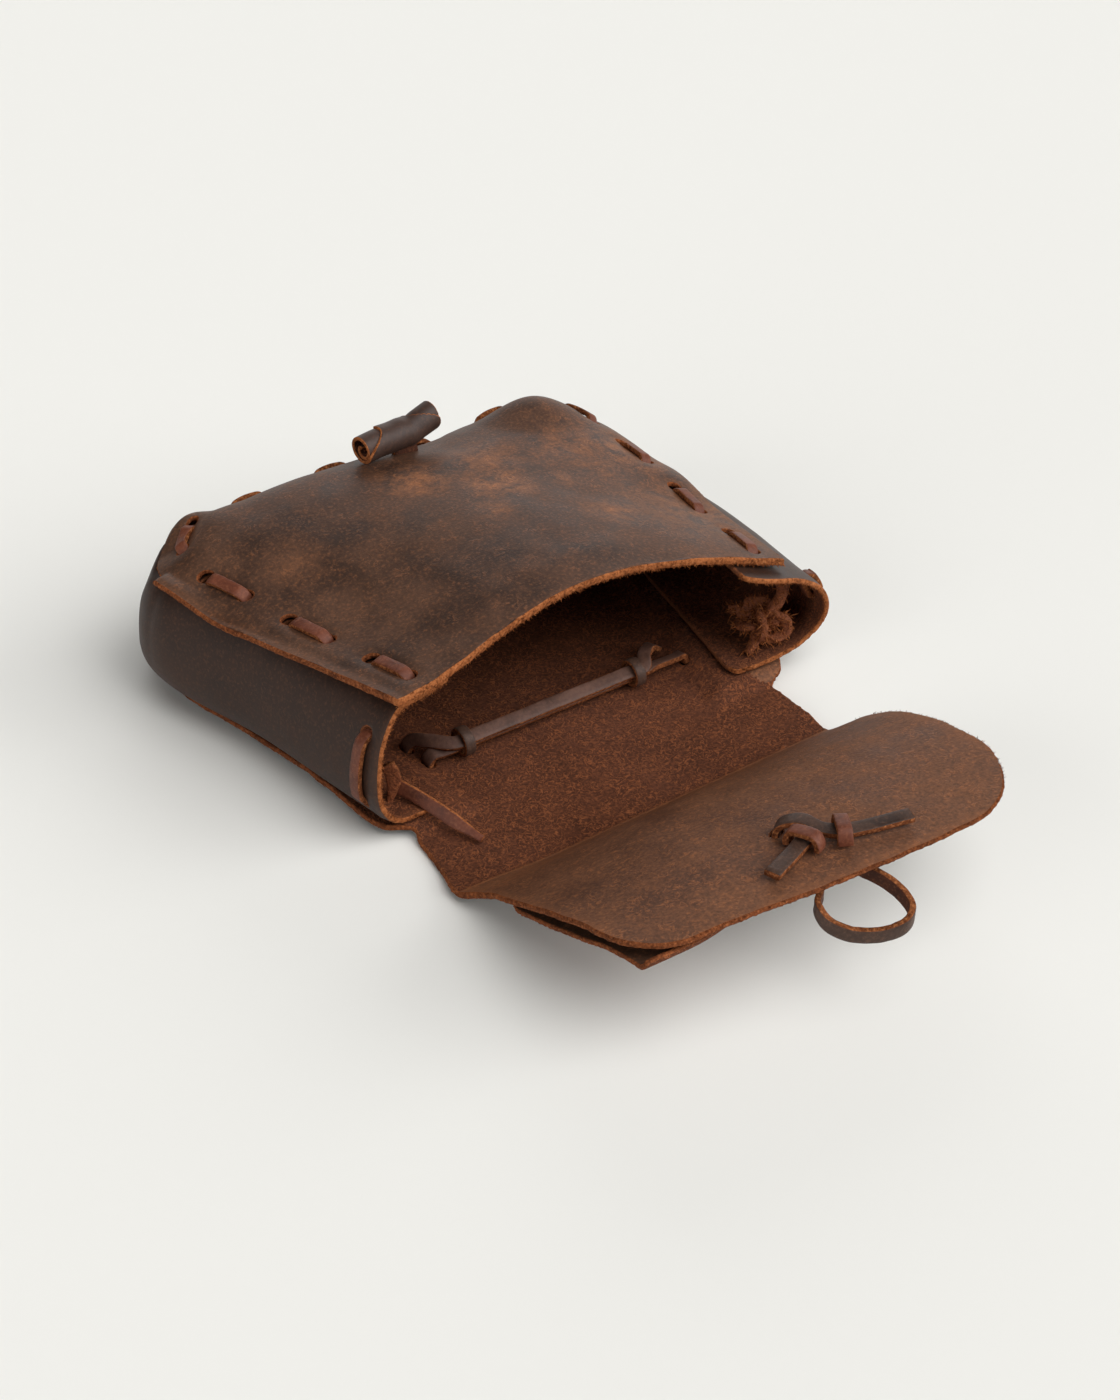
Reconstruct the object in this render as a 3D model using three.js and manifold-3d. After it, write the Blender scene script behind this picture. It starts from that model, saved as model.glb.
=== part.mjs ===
// A hand-laced leather bag that lies on its back with its flap open.
// Millimetres, +Z up. X runs across the bag, +Y to its bottom, and the flap opens towards -Y.
// The origin is on the flat underside of the back panel.
import * as THREE from "three";
import { mergeVertices } from "three/addons/utils/BufferGeometryUtils.js";
import Module from "manifold-3d";

const wasm = await Module();
wasm.setup();

// Driving dimensions
const leather = 2.6; // thickness of the hide
const gap = 0.35; // clear space between pieces that touch
const laceWide = 5.2;
const laceThick = 2.1;
const frontInset = 10; // from the front panel's edge to its lacing
const backInset = 15.5; // and from the back panel's edge
const stitchLength = 20; // the stretch of lace that shows
const frontStitches = { first: 17, pitch: 33.7, count: 12 }; // places along the lacing, from the mouth
const backStitches = { first: 87.4, pitch: 38, count: 7 };
const holeWide = 6.8;
const holeLong = 5.2;

// Both panels are laid out on a flat pattern: across runs from -patternHalf to patternHalf,
// along from the mouth at 0 to the bottom edge at patternLong.
const patternHalf = 90;
const patternLong = 140;
const cornerRadius = 30; // of the lacing pattern at the two bottom corners
const panelCorner = 29; // of the front panel's own outline
const mouthY = -57.5;
const bottomY = 79;
const creaseY = -90;
const flapLong = 102.5;
const flapSkew = 4.5; // its right corner reaches this much further than its middle
const flapCornerLeft = 17;
const flapCornerRight = 29;
const edgeLift = 3.0; // the laced margin of the back panel stands clear of the ground

// Rows of the front panel from the mouth to the bottom edge
const panelRows = [
  { along: 0, yEdge: -57.5, yMid: -49, xLeft: -69.5, xRight: 73.5, zLeft: 55, zRight: 48, zMid: 64.5 },
  { along: 17, yEdge: -41, yMid: -34, xLeft: -73.5, xRight: 76.5, zLeft: 52.8, zRight: 45.5, zMid: 65 },
  { along: 57, yEdge: -1, yMid: 2, xLeft: -86, xRight: 80.5, zLeft: 49.6, zRight: 42, zMid: 63.5 },
  { along: 87, yEdge: 29, yMid: 30, xLeft: -96, xRight: 83, zLeft: 47.6, zRight: 40, zMid: 61 },
  { along: 101, yEdge: 43, yMid: 44.5, xLeft: -100, xRight: 83.5, zLeft: 46.5, zRight: 39.5, zMid: 59.5 },
  { along: 117, yEdge: 56.5, yMid: 60, xLeft: -97, xRight: 82.5, zLeft: 45, zRight: 39, zMid: 56.2 },
  { along: 129, yEdge: 64.5, yMid: 70.5, xLeft: -92, xRight: 80.5, zLeft: 40.5, zRight: 36.5, zMid: 49.3 },
  { along: 140, yEdge: 69, yMid: 76.5, xLeft: -87, xRight: 78, zLeft: 33, zRight: 31, zMid: 39 },
];

// Dents and swellings of the front panel: where they lie on it, how far they reach and how high they stand
const dentRows = [
  { across: 20, along: 116, reach: 26, height: -2.4 },
  { across: 56, along: 117, reach: 24, height: 3.6 },
  { across: -30, along: 112, reach: 26, height: 0.8 },
];

// Middle line of the back panel's sheet from the flap's end to the bottom edge; along counts from the crease
const backRows = [
  { along: -102.6, y: -180, z: 44.5 },
  { along: -87.5, y: -165, z: 42.5 },
  { along: -72.2, y: -150, z: 39.5 },
  { along: -56.4, y: -135, z: 34.5 },
  { along: -39.8, y: -120, z: 27.5 },
  { along: -22.6, y: -106, z: 17.5 },
  { along: -7, y: -95.2, z: 6.2 },
  { along: 0, y: -90, z: 1.9 },
  { along: 6, y: -84, z: 1.35 },
  { along: 12, y: -78, z: 1.3 },
  { along: 20, y: -70, z: 1.3 },
  { along: 169, y: 79, z: 1.3 },
];

// Half width of the same sheet
const backWidths = [
  { along: -101, half: 68 },
  { along: -60, half: 70 },
  { along: -25, half: 69.5 },
  { along: 0, half: 69 },
  { along: 12, half: 70 },
  { along: 28, half: 69.5 },
  { along: 33, half: 70 },
  { along: 37, half: 73 },
  { along: 41, half: 74 },
  { along: 61, half: 79 },
  { along: 95, half: 86.5 },
  { along: 135, half: 96.5 },
  { along: 169, half: 98 },
];

// Side wall by place along the lacing: how far in from the panel's edge it leaves the panel,
// how far in from the back's edge it lands, how strongly it is pulled outwards above and below,
// and how far in its lower flange reaches
const wallRows = [
  { along: 0, leaves: 3, lands: 4, above: 10, below: 18, reach: 17 },
  { along: 57, leaves: 5, lands: 4, above: 8, below: 15, reach: 22 },
  { along: 95, leaves: 4, lands: 4, above: 10, below: 19, reach: 22 },
  { along: 125, leaves: 0, lands: 4, above: 9, below: 17, reach: 22 },
  { along: 160, leaves: 0, lands: 4, above: 8, below: 13, reach: 22 },
  { along: 242, leaves: 0, lands: 4, above: 8, below: 13, reach: 22 },
  { along: 278, leaves: 0, lands: 5, above: 9, below: 17, reach: 22 },
  { along: 320, leaves: 1, lands: 7, above: 26, below: 30, reach: 22 },
  { along: 402.8, leaves: 2, lands: 8, above: 29, below: 38, reach: 22 },
];
const topFlange = 22; // the gusset's reach under the front panel
const bottomFlange = 22; // and, where it is widest, over the back panel

const { lerp, smoothstep } = THREE.MathUtils;
const bag = new THREE.Group();

// One column of a table as a smooth function of its along column
function column(rows, name) {
  const at = rows.map((row) => row.along);
  const value = rows.map((row) => row[name]);
  const last = at.length - 1;
  const slope = at.map((_, i) => {
    const low = Math.max(i - 1, 0);
    const high = Math.min(i + 1, last);
    return (value[high] - value[low]) / (at[high] - at[low]);
  });
  return (place) => {
    let i = 0;
    while (i < last - 1 && place > at[i + 1]) i += 1;
    const span = at[i + 1] - at[i];
    const t = THREE.MathUtils.clamp((place - at[i]) / span, 0, 1);
    const t2 = t * t;
    const t3 = t2 * t;
    return (
      value[i] * (2 * t3 - 3 * t2 + 1) +
      slope[i] * span * (t3 - 2 * t2 + t) +
      value[i + 1] * (3 * t2 - 2 * t3) +
      slope[i + 1] * span * (t3 - t2)
    );
  };
}

function columns(rows) {
  const names = Object.keys(rows[0]).filter((name) => name !== "along");
  return Object.fromEntries(names.map((name) => [name, column(rows, name)]));
}

const panel = columns(panelRows);
const back = columns(backRows);
const backHalf = column(backWidths, "half");
const wallOf = columns(wallRows);

// Front panel: rows arched at the mouth that flatten into a straight fold above the bottom
function panelAt(across, along) {
  const a = across / patternHalf;
  const round = Math.max(1 - a * a, 0);
  const mouthArch = Math.pow(round, a < 0 ? 1.9 : 1.05);
  const bottomArch = 1 - Math.pow(Math.min(Math.abs(a), 1), a < 0 ? 4 : 5.5);
  const arch = lerp(mouthArch, bottomArch, smoothstep(along, 40, 110));
  const side = (a + 1) / 2;
  const zBase = lerp(panel.zLeft(along), panel.zRight(along), side);
  const crown = panel.zMid(along) - (panel.zLeft(along) + panel.zRight(along)) / 2;
  let dents = 0;
  for (const dent of dentRows) {
    const far = Math.hypot(across - dent.across, along - dent.along);
    dents += dent.height * (1 - smoothstep(far, 0, dent.reach));
  }
  return new THREE.Vector3(
    lerp(panel.xLeft(along), panel.xRight(along), side),
    lerp(panel.yEdge(along), panel.yMid(along), arch),
    zBase + crown * arch + dents,
  );
}

// The pointed ear where the left margin of the front panel stands over its bent lower margin
const earHeight = 3.5;
function panelWithEar(across, along) {
  const point = panelAt(across, along);
  const outer = 1 - smoothstep(across, -patternHalf, -patternHalf + 6.5);
  const length = smoothstep(along, 74, 100) - smoothstep(along, 102, 106);
  point.z += earHeight * outer * length;
  return point;
}

// Distance in from the rounded edge of the lacing pattern
function insetOf(across, along) {
  const dx = Math.abs(across) - (patternHalf - cornerRadius);
  const dy = along - (patternLong - cornerRadius);
  const outside = Math.hypot(Math.max(dx, 0), Math.max(dy, 0));
  return cornerRadius - outside - Math.min(Math.max(dx, dy), 0);
}

const patternToY = (along) => lerp(mouthY, bottomY, along / patternLong);
const strapHoles = {
  upperLeft: { x: -48, y: -24 },
  lowerLeft: { x: -46.5, y: -35 },
  upperRight: { x: 44.5, y: -24.5 },
  lowerRight: { x: 48, y: -33 },
};

// Back panel, neck and flap: a flat sheet with a lifted margin, bent up at the crease.
// across is a share of the half width times patternHalf, along counts from the crease.
function backAt(across, along) {
  const x = (across / patternHalf) * backHalf(along);
  const skewed = flapSkew * (across / patternHalf) * (1 - smoothstep(along, -flapLong, -40));
  const y = back.y(along) - skewed;
  const pattern = ((y - mouthY) / (bottomY - mouthY)) * patternLong;
  const margin = 1 - smoothstep(insetOf(across, pattern), bottomFlange + 1, bottomFlange + 13);
  const behindMouth = smoothstep(y, -62, -54);
  return new THREE.Vector3(x, y, back.z(along) + edgeLift * margin * behindMouth);
}

const backOnPattern = (across, along) => backAt(across, patternToY(along) - creaseY);

// A point of a surface and its unit normal
const step = 0.4;
function onSurface(surface, u, v) {
  const du = surface(u + step, v).sub(surface(u - step, v));
  const dv = surface(u, v + step).sub(surface(u, v - step));
  return { point: surface(u, v), normal: du.cross(dv).normalize() };
}

// The lacing runs down the left side, round the bottom and up the right side.
// Gives the pattern point at a place along it, a distance in from the edge.
const sideRun = patternLong - cornerRadius;
const bottomRun = 2 * (patternHalf - cornerRadius);
const cornerRun = ((cornerRadius - frontInset) * Math.PI) / 2;
const seamLong = 2 * sideRun + 2 * cornerRun + bottomRun;
function seamAt(place, inset) {
  const mirrored = place > seamLong / 2;
  const half = mirrored ? seamLong - place : place;
  const side = mirrored ? 1 : -1;
  if (half <= sideRun) return { across: side * (patternHalf - inset), along: half };
  const centre = patternHalf - cornerRadius;
  const radius = cornerRadius - inset;
  if (half <= sideRun + cornerRun) {
    const turn = ((half - sideRun) / cornerRun) * (Math.PI / 2);
    return {
      across: side * (centre + radius * Math.cos(turn)),
      along: sideRun + radius * Math.sin(turn),
    };
  }
  const left = centre - (half - sideRun - cornerRun);
  return { across: side * left, along: patternLong - inset };
}

function onSeam(surface, place, inset) {
  const at = seamAt(place, inset);
  return onSurface(surface, at.across, at.along);
}

// Solids
function shaped(positions, index) {
  const geometry = new THREE.BufferGeometry();
  geometry.setAttribute("position", new THREE.Float32BufferAttribute(positions.flat(), 3));
  geometry.setIndex(index);
  return geometry;
}

// A wall of even thickness round a grid of points with normals
function sheet(rows, thick) {
  const n = rows.length;
  const m = rows[0].length;
  const positions = [];
  for (const side of [0.5, -0.5]) {
    for (const { point, normal } of rows.flat()) {
      positions.push(point.clone().addScaledVector(normal, thick * side).toArray());
    }
  }
  const top = (i, j) => i * m + j;
  const under = (i, j) => n * m + i * m + j;
  const index = [];
  for (let i = 0; i < n - 1; i += 1) {
    for (let j = 0; j < m - 1; j += 1) {
      index.push(top(i, j), top(i + 1, j), top(i + 1, j + 1));
      index.push(top(i, j), top(i + 1, j + 1), top(i, j + 1));
      index.push(under(i, j), under(i + 1, j + 1), under(i + 1, j));
      index.push(under(i, j), under(i, j + 1), under(i + 1, j + 1));
    }
  }
  const rim = [];
  for (let i = 0; i < n - 1; i += 1) rim.push([i, 0]);
  for (let j = 0; j < m - 1; j += 1) rim.push([n - 1, j]);
  for (let i = n - 1; i > 0; i -= 1) rim.push([i, m - 1]);
  for (let j = m - 1; j > 0; j -= 1) rim.push([0, j]);
  rim.forEach(([i, j], k) => {
    const [p, q] = rim[(k + 1) % rim.length];
    index.push(top(p, q), top(i, j), under(i, j));
    index.push(top(p, q), under(i, j), under(p, q));
  });
  return shaped(positions, index);
}

// A flat lace along points that each give the direction of its width; taper narrows it to its end
function lace(points, wide = laceWide, thick = laceThick, taper = () => 1) {
  const last = points.length - 1;
  const positions = [];
  points.forEach(({ point, across }, k) => {
    const before = points[Math.max(k - 1, 0)].point;
    const after = points[Math.min(k + 1, last)].point;
    const ahead = after.clone().sub(before).normalize();
    const w = across.clone().addScaledVector(ahead, -across.dot(ahead)).normalize();
    const n = ahead.clone().cross(w);
    const half = (wide / 2) * taper(k / last);
    for (const [sw, sn] of [[1, 1], [-1, 1], [-1, -1], [1, -1]]) {
      const corner = point.clone().addScaledVector(w, sw * half);
      positions.push(corner.addScaledVector(n, (sn * thick) / 2).toArray());
    }
  });
  const index = [0, 2, 1, 0, 3, 2];
  for (let k = 0; k < last; k += 1) {
    for (let c = 0; c < 4; c += 1) {
      const a = 4 * k + c;
      const b = 4 * k + ((c + 1) % 4);
      index.push(a, b, b + 4, a, b + 4, a + 4);
    }
  }
  const end = 4 * last;
  index.push(end, end + 1, end + 2, end, end + 2, end + 3);
  return shaped(positions, index);
}

// Smooth points through a short list of places, each with the direction of the lace's width
function route(places, steps) {
  const knots = places.map((place) => new THREE.Vector3(...place.at));
  const curve = new THREE.CatmullRomCurve3(knots, false, "centripetal");
  const last = places.length - 1;
  return Array.from({ length: steps + 1 }, (_, k) => {
    const t = k / steps;
    const i = Math.min(Math.floor(t * last), last - 1);
    const from = new THREE.Vector3(...places[i].wide);
    const across = from.lerp(new THREE.Vector3(...places[i + 1].wide), t * last - i).normalize();
    return { point: curve.getPoint(t), across };
  });
}

function solid(geometry) {
  const bare = new THREE.BufferGeometry();
  bare.setAttribute("position", geometry.getAttribute("position"));
  if (geometry.index) bare.setIndex(geometry.index);
  const merged = mergeVertices(bare, 1e-4);
  return new wasm.Manifold(
    new wasm.Mesh({
      numProp: 3,
      vertProperties: new Float32Array(merged.getAttribute("position").array),
      triVerts: new Uint32Array(merged.index.array),
    }),
  );
}

function toGeometry(body) {
  const made = body.getMesh();
  const geometry = new THREE.BufferGeometry();
  geometry.setAttribute("position", new THREE.BufferAttribute(made.vertProperties, 3));
  geometry.setIndex(new THREE.BufferAttribute(made.triVerts, 1));
  return geometry;
}

function pierced(geometry, tools) {
  let body = solid(geometry);
  for (const tool of tools) body = body.subtract(solid(tool));
  return toGeometry(body);
}

// A slot punched through a sheet: long along the seam, wide across it
function punch({ point, normal }, ahead, below, above, long = holeLong, wide = holeWide) {
  const l = long / 2;
  const w = wide / 2;
  const outline = [[l, w], [-l, w], [-l, -w], [l, -w]];
  const shape = new THREE.Shape(outline.map(([x, y]) => new THREE.Vector2(x, y)));
  const geometry = new THREE.ExtrudeGeometry(shape, { depth: above + below, bevelEnabled: false });
  const x = ahead.clone().addScaledVector(normal, -ahead.dot(normal)).normalize();
  const frame = new THREE.Matrix4().makeBasis(x, normal.clone().cross(x), normal);
  frame.setPosition(point.clone().addScaledVector(normal, -below));
  return geometry.applyMatrix4(frame);
}

// Running lace: out at one hole, along the face and in at the next, with the rest under the flange.
// ahead counts from a hole towards the stitch's middle, height from the panel's middle surface.
const outerHeight = leather / 2 + gap + laceThick / 2;
const innerHeight = -(1.5 * leather + 3.6 * gap + laceThick / 2);
const throughHole = [
  { ahead: -3, height: innerHeight - 0.5 },
  { ahead: -0.7, height: innerHeight + 0.5 },
  { ahead: -0.2, height: -1 },
  { ahead: 0.3, height: 1.4 },
  { ahead: 2.2, height: outerHeight + 0.45 },
];
const holeBack = -0.4; // the lace sits at the inner side of its hole

const middles = ({ first, pitch, count }) => Array.from({ length: count }, (_, k) => first + k * pitch);

function seamFrame({ surface, inset, facing }, place) {
  const here = onSeam(surface, place, inset);
  const next = onSeam(surface, place + 0.5, inset);
  const ahead = next.point.sub(here.point).normalize();
  const normal = here.normal.multiplyScalar(facing);
  return { point: here.point, normal, ahead, across: normal.clone().cross(ahead) };
}

function runningLace(seam) {
  const points = [];
  const put = (place, height) => {
    const { point, normal, across } = seamFrame(seam, place);
    points.push({ point: point.addScaledVector(normal, height), across });
  };
  for (const middle of middles(seam.stitches)) {
    const start = middle - stitchLength / 2;
    const end = middle + stitchLength / 2;
    for (const { ahead, height } of throughHole) put(start + ahead, height);
    put(middle, outerHeight + 0.45);
    for (const { ahead, height } of [...throughHole].reverse()) put(end - ahead, height);
  }
  return lace(points);
}

function seamPunches(seam) {
  const below = -innerHeight + 2;
  const above = leather;
  return middles(seam.stitches).flatMap((middle) =>
    [-1, 1].map((end) => {
      const frame = seamFrame(seam, middle + end * (stitchLength / 2 - holeBack));
      return punch(frame, frame.ahead.multiplyScalar(end), below, above);
    }),
  );
}

const frontSeam = { surface: panelAt, inset: frontInset, facing: 1, stitches: frontStitches };
const backSeam = { surface: backOnPattern, inset: backInset, facing: -1, stitches: backStitches };
const frontPunches = seamPunches(frontSeam);
const backPunches = seamPunches(backSeam);

// Grid of a panel between its left and right outline; shares are the columns' places across it
function panelGrid(surface, alongs, left, right, shares) {
  return shares.map((share) =>
    alongs.map((along) => {
      const across = lerp(left(along), right(along), share);
      const inner = patternHalf - step;
      return onSurface(surface, THREE.MathUtils.clamp(across, -inner, inner), along);
    }),
  );
}

const roundOff = (reach, radius, past) => {
  const over = THREE.MathUtils.clamp(past, 0, radius);
  return reach - radius + Math.sqrt(radius * radius - over * over);
};

// Front panel
const panelShares = [0, 0.036, 0.1, 0.18, 0.27, 0.36, 0.45, 0.55, 0.64, 0.73, 0.82, 0.9, 0.96, 1];
const panelAlongs = [0, 10, 22, 35, 48, 61, 74, 86, 95, 102, 106, 112, 118, 124, 129, 134, 140];
const panelEdge = (along) => roundOff(patternHalf, panelCorner, along - (patternLong - panelCorner));
const earEdge = (along) => (along < 104 ? patternHalf : Math.min(panelEdge(along), patternHalf - 4));
const frontGrid = panelGrid(panelWithEar, panelAlongs, (along) => -earEdge(along), panelEdge, panelShares);

// The places of the gusset along the lacing and the points of its section
const gussetStart = 4;
const gussetSteps = 32;
const wallSteps = 6;
const gussetPlaces = Array.from({ length: gussetSteps + 1 }, (_, k) =>
  lerp(gussetStart, seamLong - gussetStart, k / gussetSteps),
);

// One section of the gusset: flange under the front panel, wall, flange on the back panel
function gussetSection(place) {
  const leaves = wallOf.leaves(place);
  const lands = wallOf.lands(place);
  const under = (inset) => {
    const { point, normal } = onSeam(panelAt, place, inset);
    return point.addScaledVector(normal, -leather - 2.4 * gap);
  };
  const over = (inset) => {
    const { point, normal } = onSeam(backOnPattern, place, inset);
    return point.addScaledVector(normal, leather + gap);
  };
  const top = under(leaves);
  const bottom = over(lands);
  const outTop = top.clone().sub(under(leaves + 1)).normalize();
  const outBottom = bottom.clone().sub(over(lands + 1)).normalize();
  const wall = new THREE.CubicBezierCurve3(
    top,
    top.clone().addScaledVector(outTop, wallOf.above(place)),
    bottom.clone().addScaledVector(outBottom, wallOf.below(place)),
    bottom,
  );
  const flangeTop = [0, 1 / 3, 2 / 3].map((t) => under(lerp(topFlange, leaves, t)));
  const flangeBottom = [1 / 2, 1].map((t) => over(lerp(lands, wallOf.reach(place), t)));
  return { flangeTop, wall, flangeBottom };
}
const wallCurve = (place) => gussetSection(place).wall;
function gussetRow(place) {
  const { flangeTop, wall, flangeBottom } = gussetSection(place);
  return [...flangeTop, ...wall.getPoints(wallSteps), ...flangeBottom];
}

// Normals of a grid of points, from each point's neighbours
function withNormals(points) {
  const n = points.length - 1;
  const m = points[0].length - 1;
  return points.map((row, i) =>
    row.map((point, j) => {
      const du = points[Math.min(i + 1, n)][j].clone().sub(points[Math.max(i - 1, 0)][j]);
      const dv = row[Math.min(j + 1, m)].clone().sub(row[Math.max(j - 1, 0)]);
      return { point, normal: du.cross(dv).normalize() };
    }),
  );
}

const gussetGrid = withNormals(gussetPlaces.map(gussetRow));

// Back panel, neck and flap
const bodyLong = bottomY - creaseY;
const flapAlongs = [-102.5, -100.5, -96, -88, -74, -56, -38, -22, -12, -6, -2];
const bodyAlongs = [2, 8, 18, 28, 32, 36, 44, 58, 82, 108, 132, 141, 149, 156, 162, 166.5, 169];
const backAlongs = [...flapAlongs, ...bodyAlongs];
function backEdge(flapCorner) {
  return (along) => {
    if (along >= 0) return roundOff(patternHalf, cornerRadius, along - (bodyLong - cornerRadius));
    const share = patternHalf / backHalf(along);
    return roundOff(backHalf(along), flapCorner, -along - (flapLong - flapCorner)) * share;
  };
}
const backLeft = backEdge(flapCornerLeft);
const backRight = backEdge(flapCornerRight);
const backShares = [0, 0.08, 0.165, 0.198, 0.235, 0.33, 0.42, 0.5, 0.58, 0.67, 0.765, 0.802, 0.835, 0.92, 1];
const backGrid = panelGrid(backAt, backAlongs, (along) => -backLeft(along), backRight, backShares);

// Second layer under the left of the flap: it hangs below it and turns up to it at the front
const underlayLeft = -67;
const underlayRight = -14;
const underlayThick = 1.6;
const underlayRows = [
  { along: 0, place: -18, drop: 0 },
  { along: 14, place: -32, drop: 0.8 },
  { along: 30, place: -48, drop: 2.2 },
  { along: 46, place: -64, drop: 3.2 },
  { along: 62, place: -80, drop: 3.0 },
  { along: 74, place: -94, drop: 2.9 },
  { along: 76, place: -96, drop: 2.6 },
  { along: 77.8, place: -97.4, drop: 1.6 },
  { along: 79, place: -97.7, drop: 0.3 },
];
const underlay = columns(underlayRows);
function underlayAt(x, along) {
  const place = underlay.place(along);
  const { point, normal } = onSurface(backAt, (x / backHalf(place)) * patternHalf, place);
  return point.addScaledVector(normal, -((leather + underlayThick) / 2 + gap + underlay.drop(along)));
}
const underlayGrid = withNormals(
  [0, 0.25, 0.5, 0.75, 1].map((share) =>
    [0, 14, 28, 42, 56, 68, 74, 75.6, 76.9, 78, 79].map((along) =>
      underlayAt(lerp(underlayLeft, underlayRight, share), along),
    ),
  ),
);

// Upright stitch in each side wall near the mouth: high and low are shares of the way down the wall
const sideStitches = {
  left: { place: 12, high: 0.3, low: 0.84 },
  right: { place: seamLong - 10, high: 0.16, low: 0.44 },
};
const insideEnd = 8; // the lace's end inside runs back this far along the wall
function sideFrame(place, share) {
  const down = (at) => wallCurve(at).getPointAt(share);
  const point = down(place);
  const ahead = wallCurve(place).getTangentAt(share);
  const across = down(place + 0.5).sub(down(place - 0.5)).normalize();
  return { point, normal: across.clone().cross(ahead).normalize(), ahead, across };
}
const inFromWall = -(leather / 2 + gap + laceThick / 2);
const sideHole = [
  { back: insideEnd, height: inFromWall - 0.2 },
  { back: insideEnd / 2, height: inFromWall - 0.4 },
  { back: 1.6, height: inFromWall - 0.2 },
  { back: 0.3, height: -0.6 },
  { back: 0.6, height: outerHeight - 0.8 },
  { back: 2.6, height: outerHeight + 0.3 },
];
function sideLace({ place, high, low }, tail = []) {
  const wallLong = wallCurve(place).getLength();
  const put = (share, height) => {
    const { point, normal, across } = sideFrame(place, share);
    return { point: point.addScaledVector(normal, height), across };
  };
  const top = sideHole.map(({ back: run, height }) => put(high + run / wallLong, height));
  const middle = [1 / 3, 2 / 3].map((t) => put(lerp(high, low, t), outerHeight + 0.3));
  const bottom = sideHole.map(({ back: run, height }) => put(low - run / wallLong, height)).reverse();
  if (tail.length === 0) return lace([...top, ...middle, ...bottom]);
  const whole = [...top, ...middle, ...bottom.slice(0, 4)];
  const from = whole.pop();
  whole.push(...route([{ at: from.point.toArray(), wide: from.across.toArray() }, ...tail], 8));
  const narrowFrom = 0.7;
  const taper = (t) => lerp(1, 0.3, Math.max(t - narrowFrom, 0) / (1 - narrowFrom));
  return lace(whole, laceWide, laceThick, taper);
}
const leftTail = [
  { at: [-67.2, -43.5, 12.6], wide: [0.35, 0.9, -0.3] },
  { at: [-64, -48.5, 11.4], wide: [0.75, 0.6, 0.1] },
  { at: [-60, -56.5, 9.5], wide: [0.85, 0.5, 0] },
  { at: [-57.2, -64.5, 7.5], wide: [0.9, 0.4, 0] },
  { at: [-55.4, -73.5, 5.6], wide: [0.9, 0.4, 0] },
];
const sideHoleLong = 6.8;
const sidePunches = Object.values(sideStitches).flatMap(({ place, high, low }) =>
  [high, low].map((share) => {
    const frame = sideFrame(place, share);
    return punch(frame, frame.ahead, leather, leather, sideHoleLong);
  }),
);

// Doubled strap on the inside of the back: two laces that lie on each other and part to their holes
const keeperOuter = 5.9;
const keeperThick = 1.6;
const keeperWide = 5;
const keeperZ = leather + gap + keeperOuter;
const keeperY = -31.5;
const keeperX = { left: -36.5, right: 32 };
const keeperPlay = 3.5; // the laces run straight this far past the middle of a keeper
const strapStack = (laceThick + gap) / 2;
function onBack(x, y, height) {
  const along = y - creaseY;
  const { point, normal } = onSurface(backAt, (x / backHalf(along)) * patternHalf, along);
  return { point: point.addScaledVector(normal, height), normal };
}
const flushEnd = -leather / 2 + 0.2;
function strapLace(left, right, side) {
  const z = keeperZ + side * strapStack;
  const flat = new THREE.Vector3(0, 1, 0);
  const put = (point) => ({ point, across: flat });
  const end = (hole, inward) => {
    const over = onBack(hole.x, hole.y, leather / 2).point.z;
    return [
      put(onBack(hole.x, hole.y, flushEnd).point),
      put(onBack(hole.x, hole.y, leather / 2 + 0.6).point),
      put(new THREE.Vector3(hole.x + 1.6 * inward, lerp(hole.y, keeperY, 0.15), lerp(over, z, 0.62) + 0.6)),
      put(new THREE.Vector3(hole.x + 4.4 * inward, lerp(hole.y, keeperY, 0.55), z + 0.9 * side + 0.4)),
    ];
  };
  const stations = [
    keeperX.left - keeperPlay,
    keeperX.left + keeperPlay,
    0,
    keeperX.right - keeperPlay,
    keeperX.right + keeperPlay,
  ];
  const middle = stations.map((x) => put(new THREE.Vector3(x, keeperY, z)));
  return lace([...end(left, 1), ...middle, ...end(right, -1).reverse()]);
}
const strapPunches = Object.values(strapHoles).map(({ x, y }) =>
  punch(onBack(x, y, 0), new THREE.Vector3(Math.sign(x), 0, 0), leather, leather),
);

// A leather band closed to a ring round an axis: a turned square section
function ring(outer, thick, wide, sides = 14) {
  const profile = [
    [outer - thick, -wide / 2],
    [outer, -wide / 2],
    [outer, wide / 2],
    [outer - thick, wide / 2],
    [outer - thick, -wide / 2],
  ];
  return new THREE.LatheGeometry(profile.map(([r, h]) => new THREE.Vector2(r, h)), sides);
}

// Toggle: a strip that narrows to its end, rolled up on itself
const toggleLeft = new THREE.Vector3(-18.8, 56.3, 64.9);
const toggleRight = new THREE.Vector3(15.6, 61.9, 64.7);
const toggleLong = toggleLeft.distanceTo(toggleRight);
const rollThick = 1.25;
const rollPitch = 1.6;
const rollStart = 1.6;
const rollTurns = 2.1;
const rollSteps = 30;
const rollEnd = 0.55; // width of the strip at its end, as a share
const up = new THREE.Vector3(0, 0, 1);
function rolledStrip() {
  const points = Array.from({ length: rollSteps + 1 }, (_, k) => {
    const t = k / rollSteps;
    const turn = t * rollTurns * 2 * Math.PI;
    const r = rollStart + rollPitch * rollTurns * t;
    return { point: new THREE.Vector3(r * Math.cos(turn), r * Math.sin(turn), 0), across: up };
  });
  return lace(points, toggleLong, rollThick, (t) => lerp(1, rollEnd, t));
}
const toggleMiddle = toggleLeft.clone().add(toggleRight).multiplyScalar(0.5);
const rollRadius = rollStart + rollPitch * rollTurns + rollThick / 2;

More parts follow.
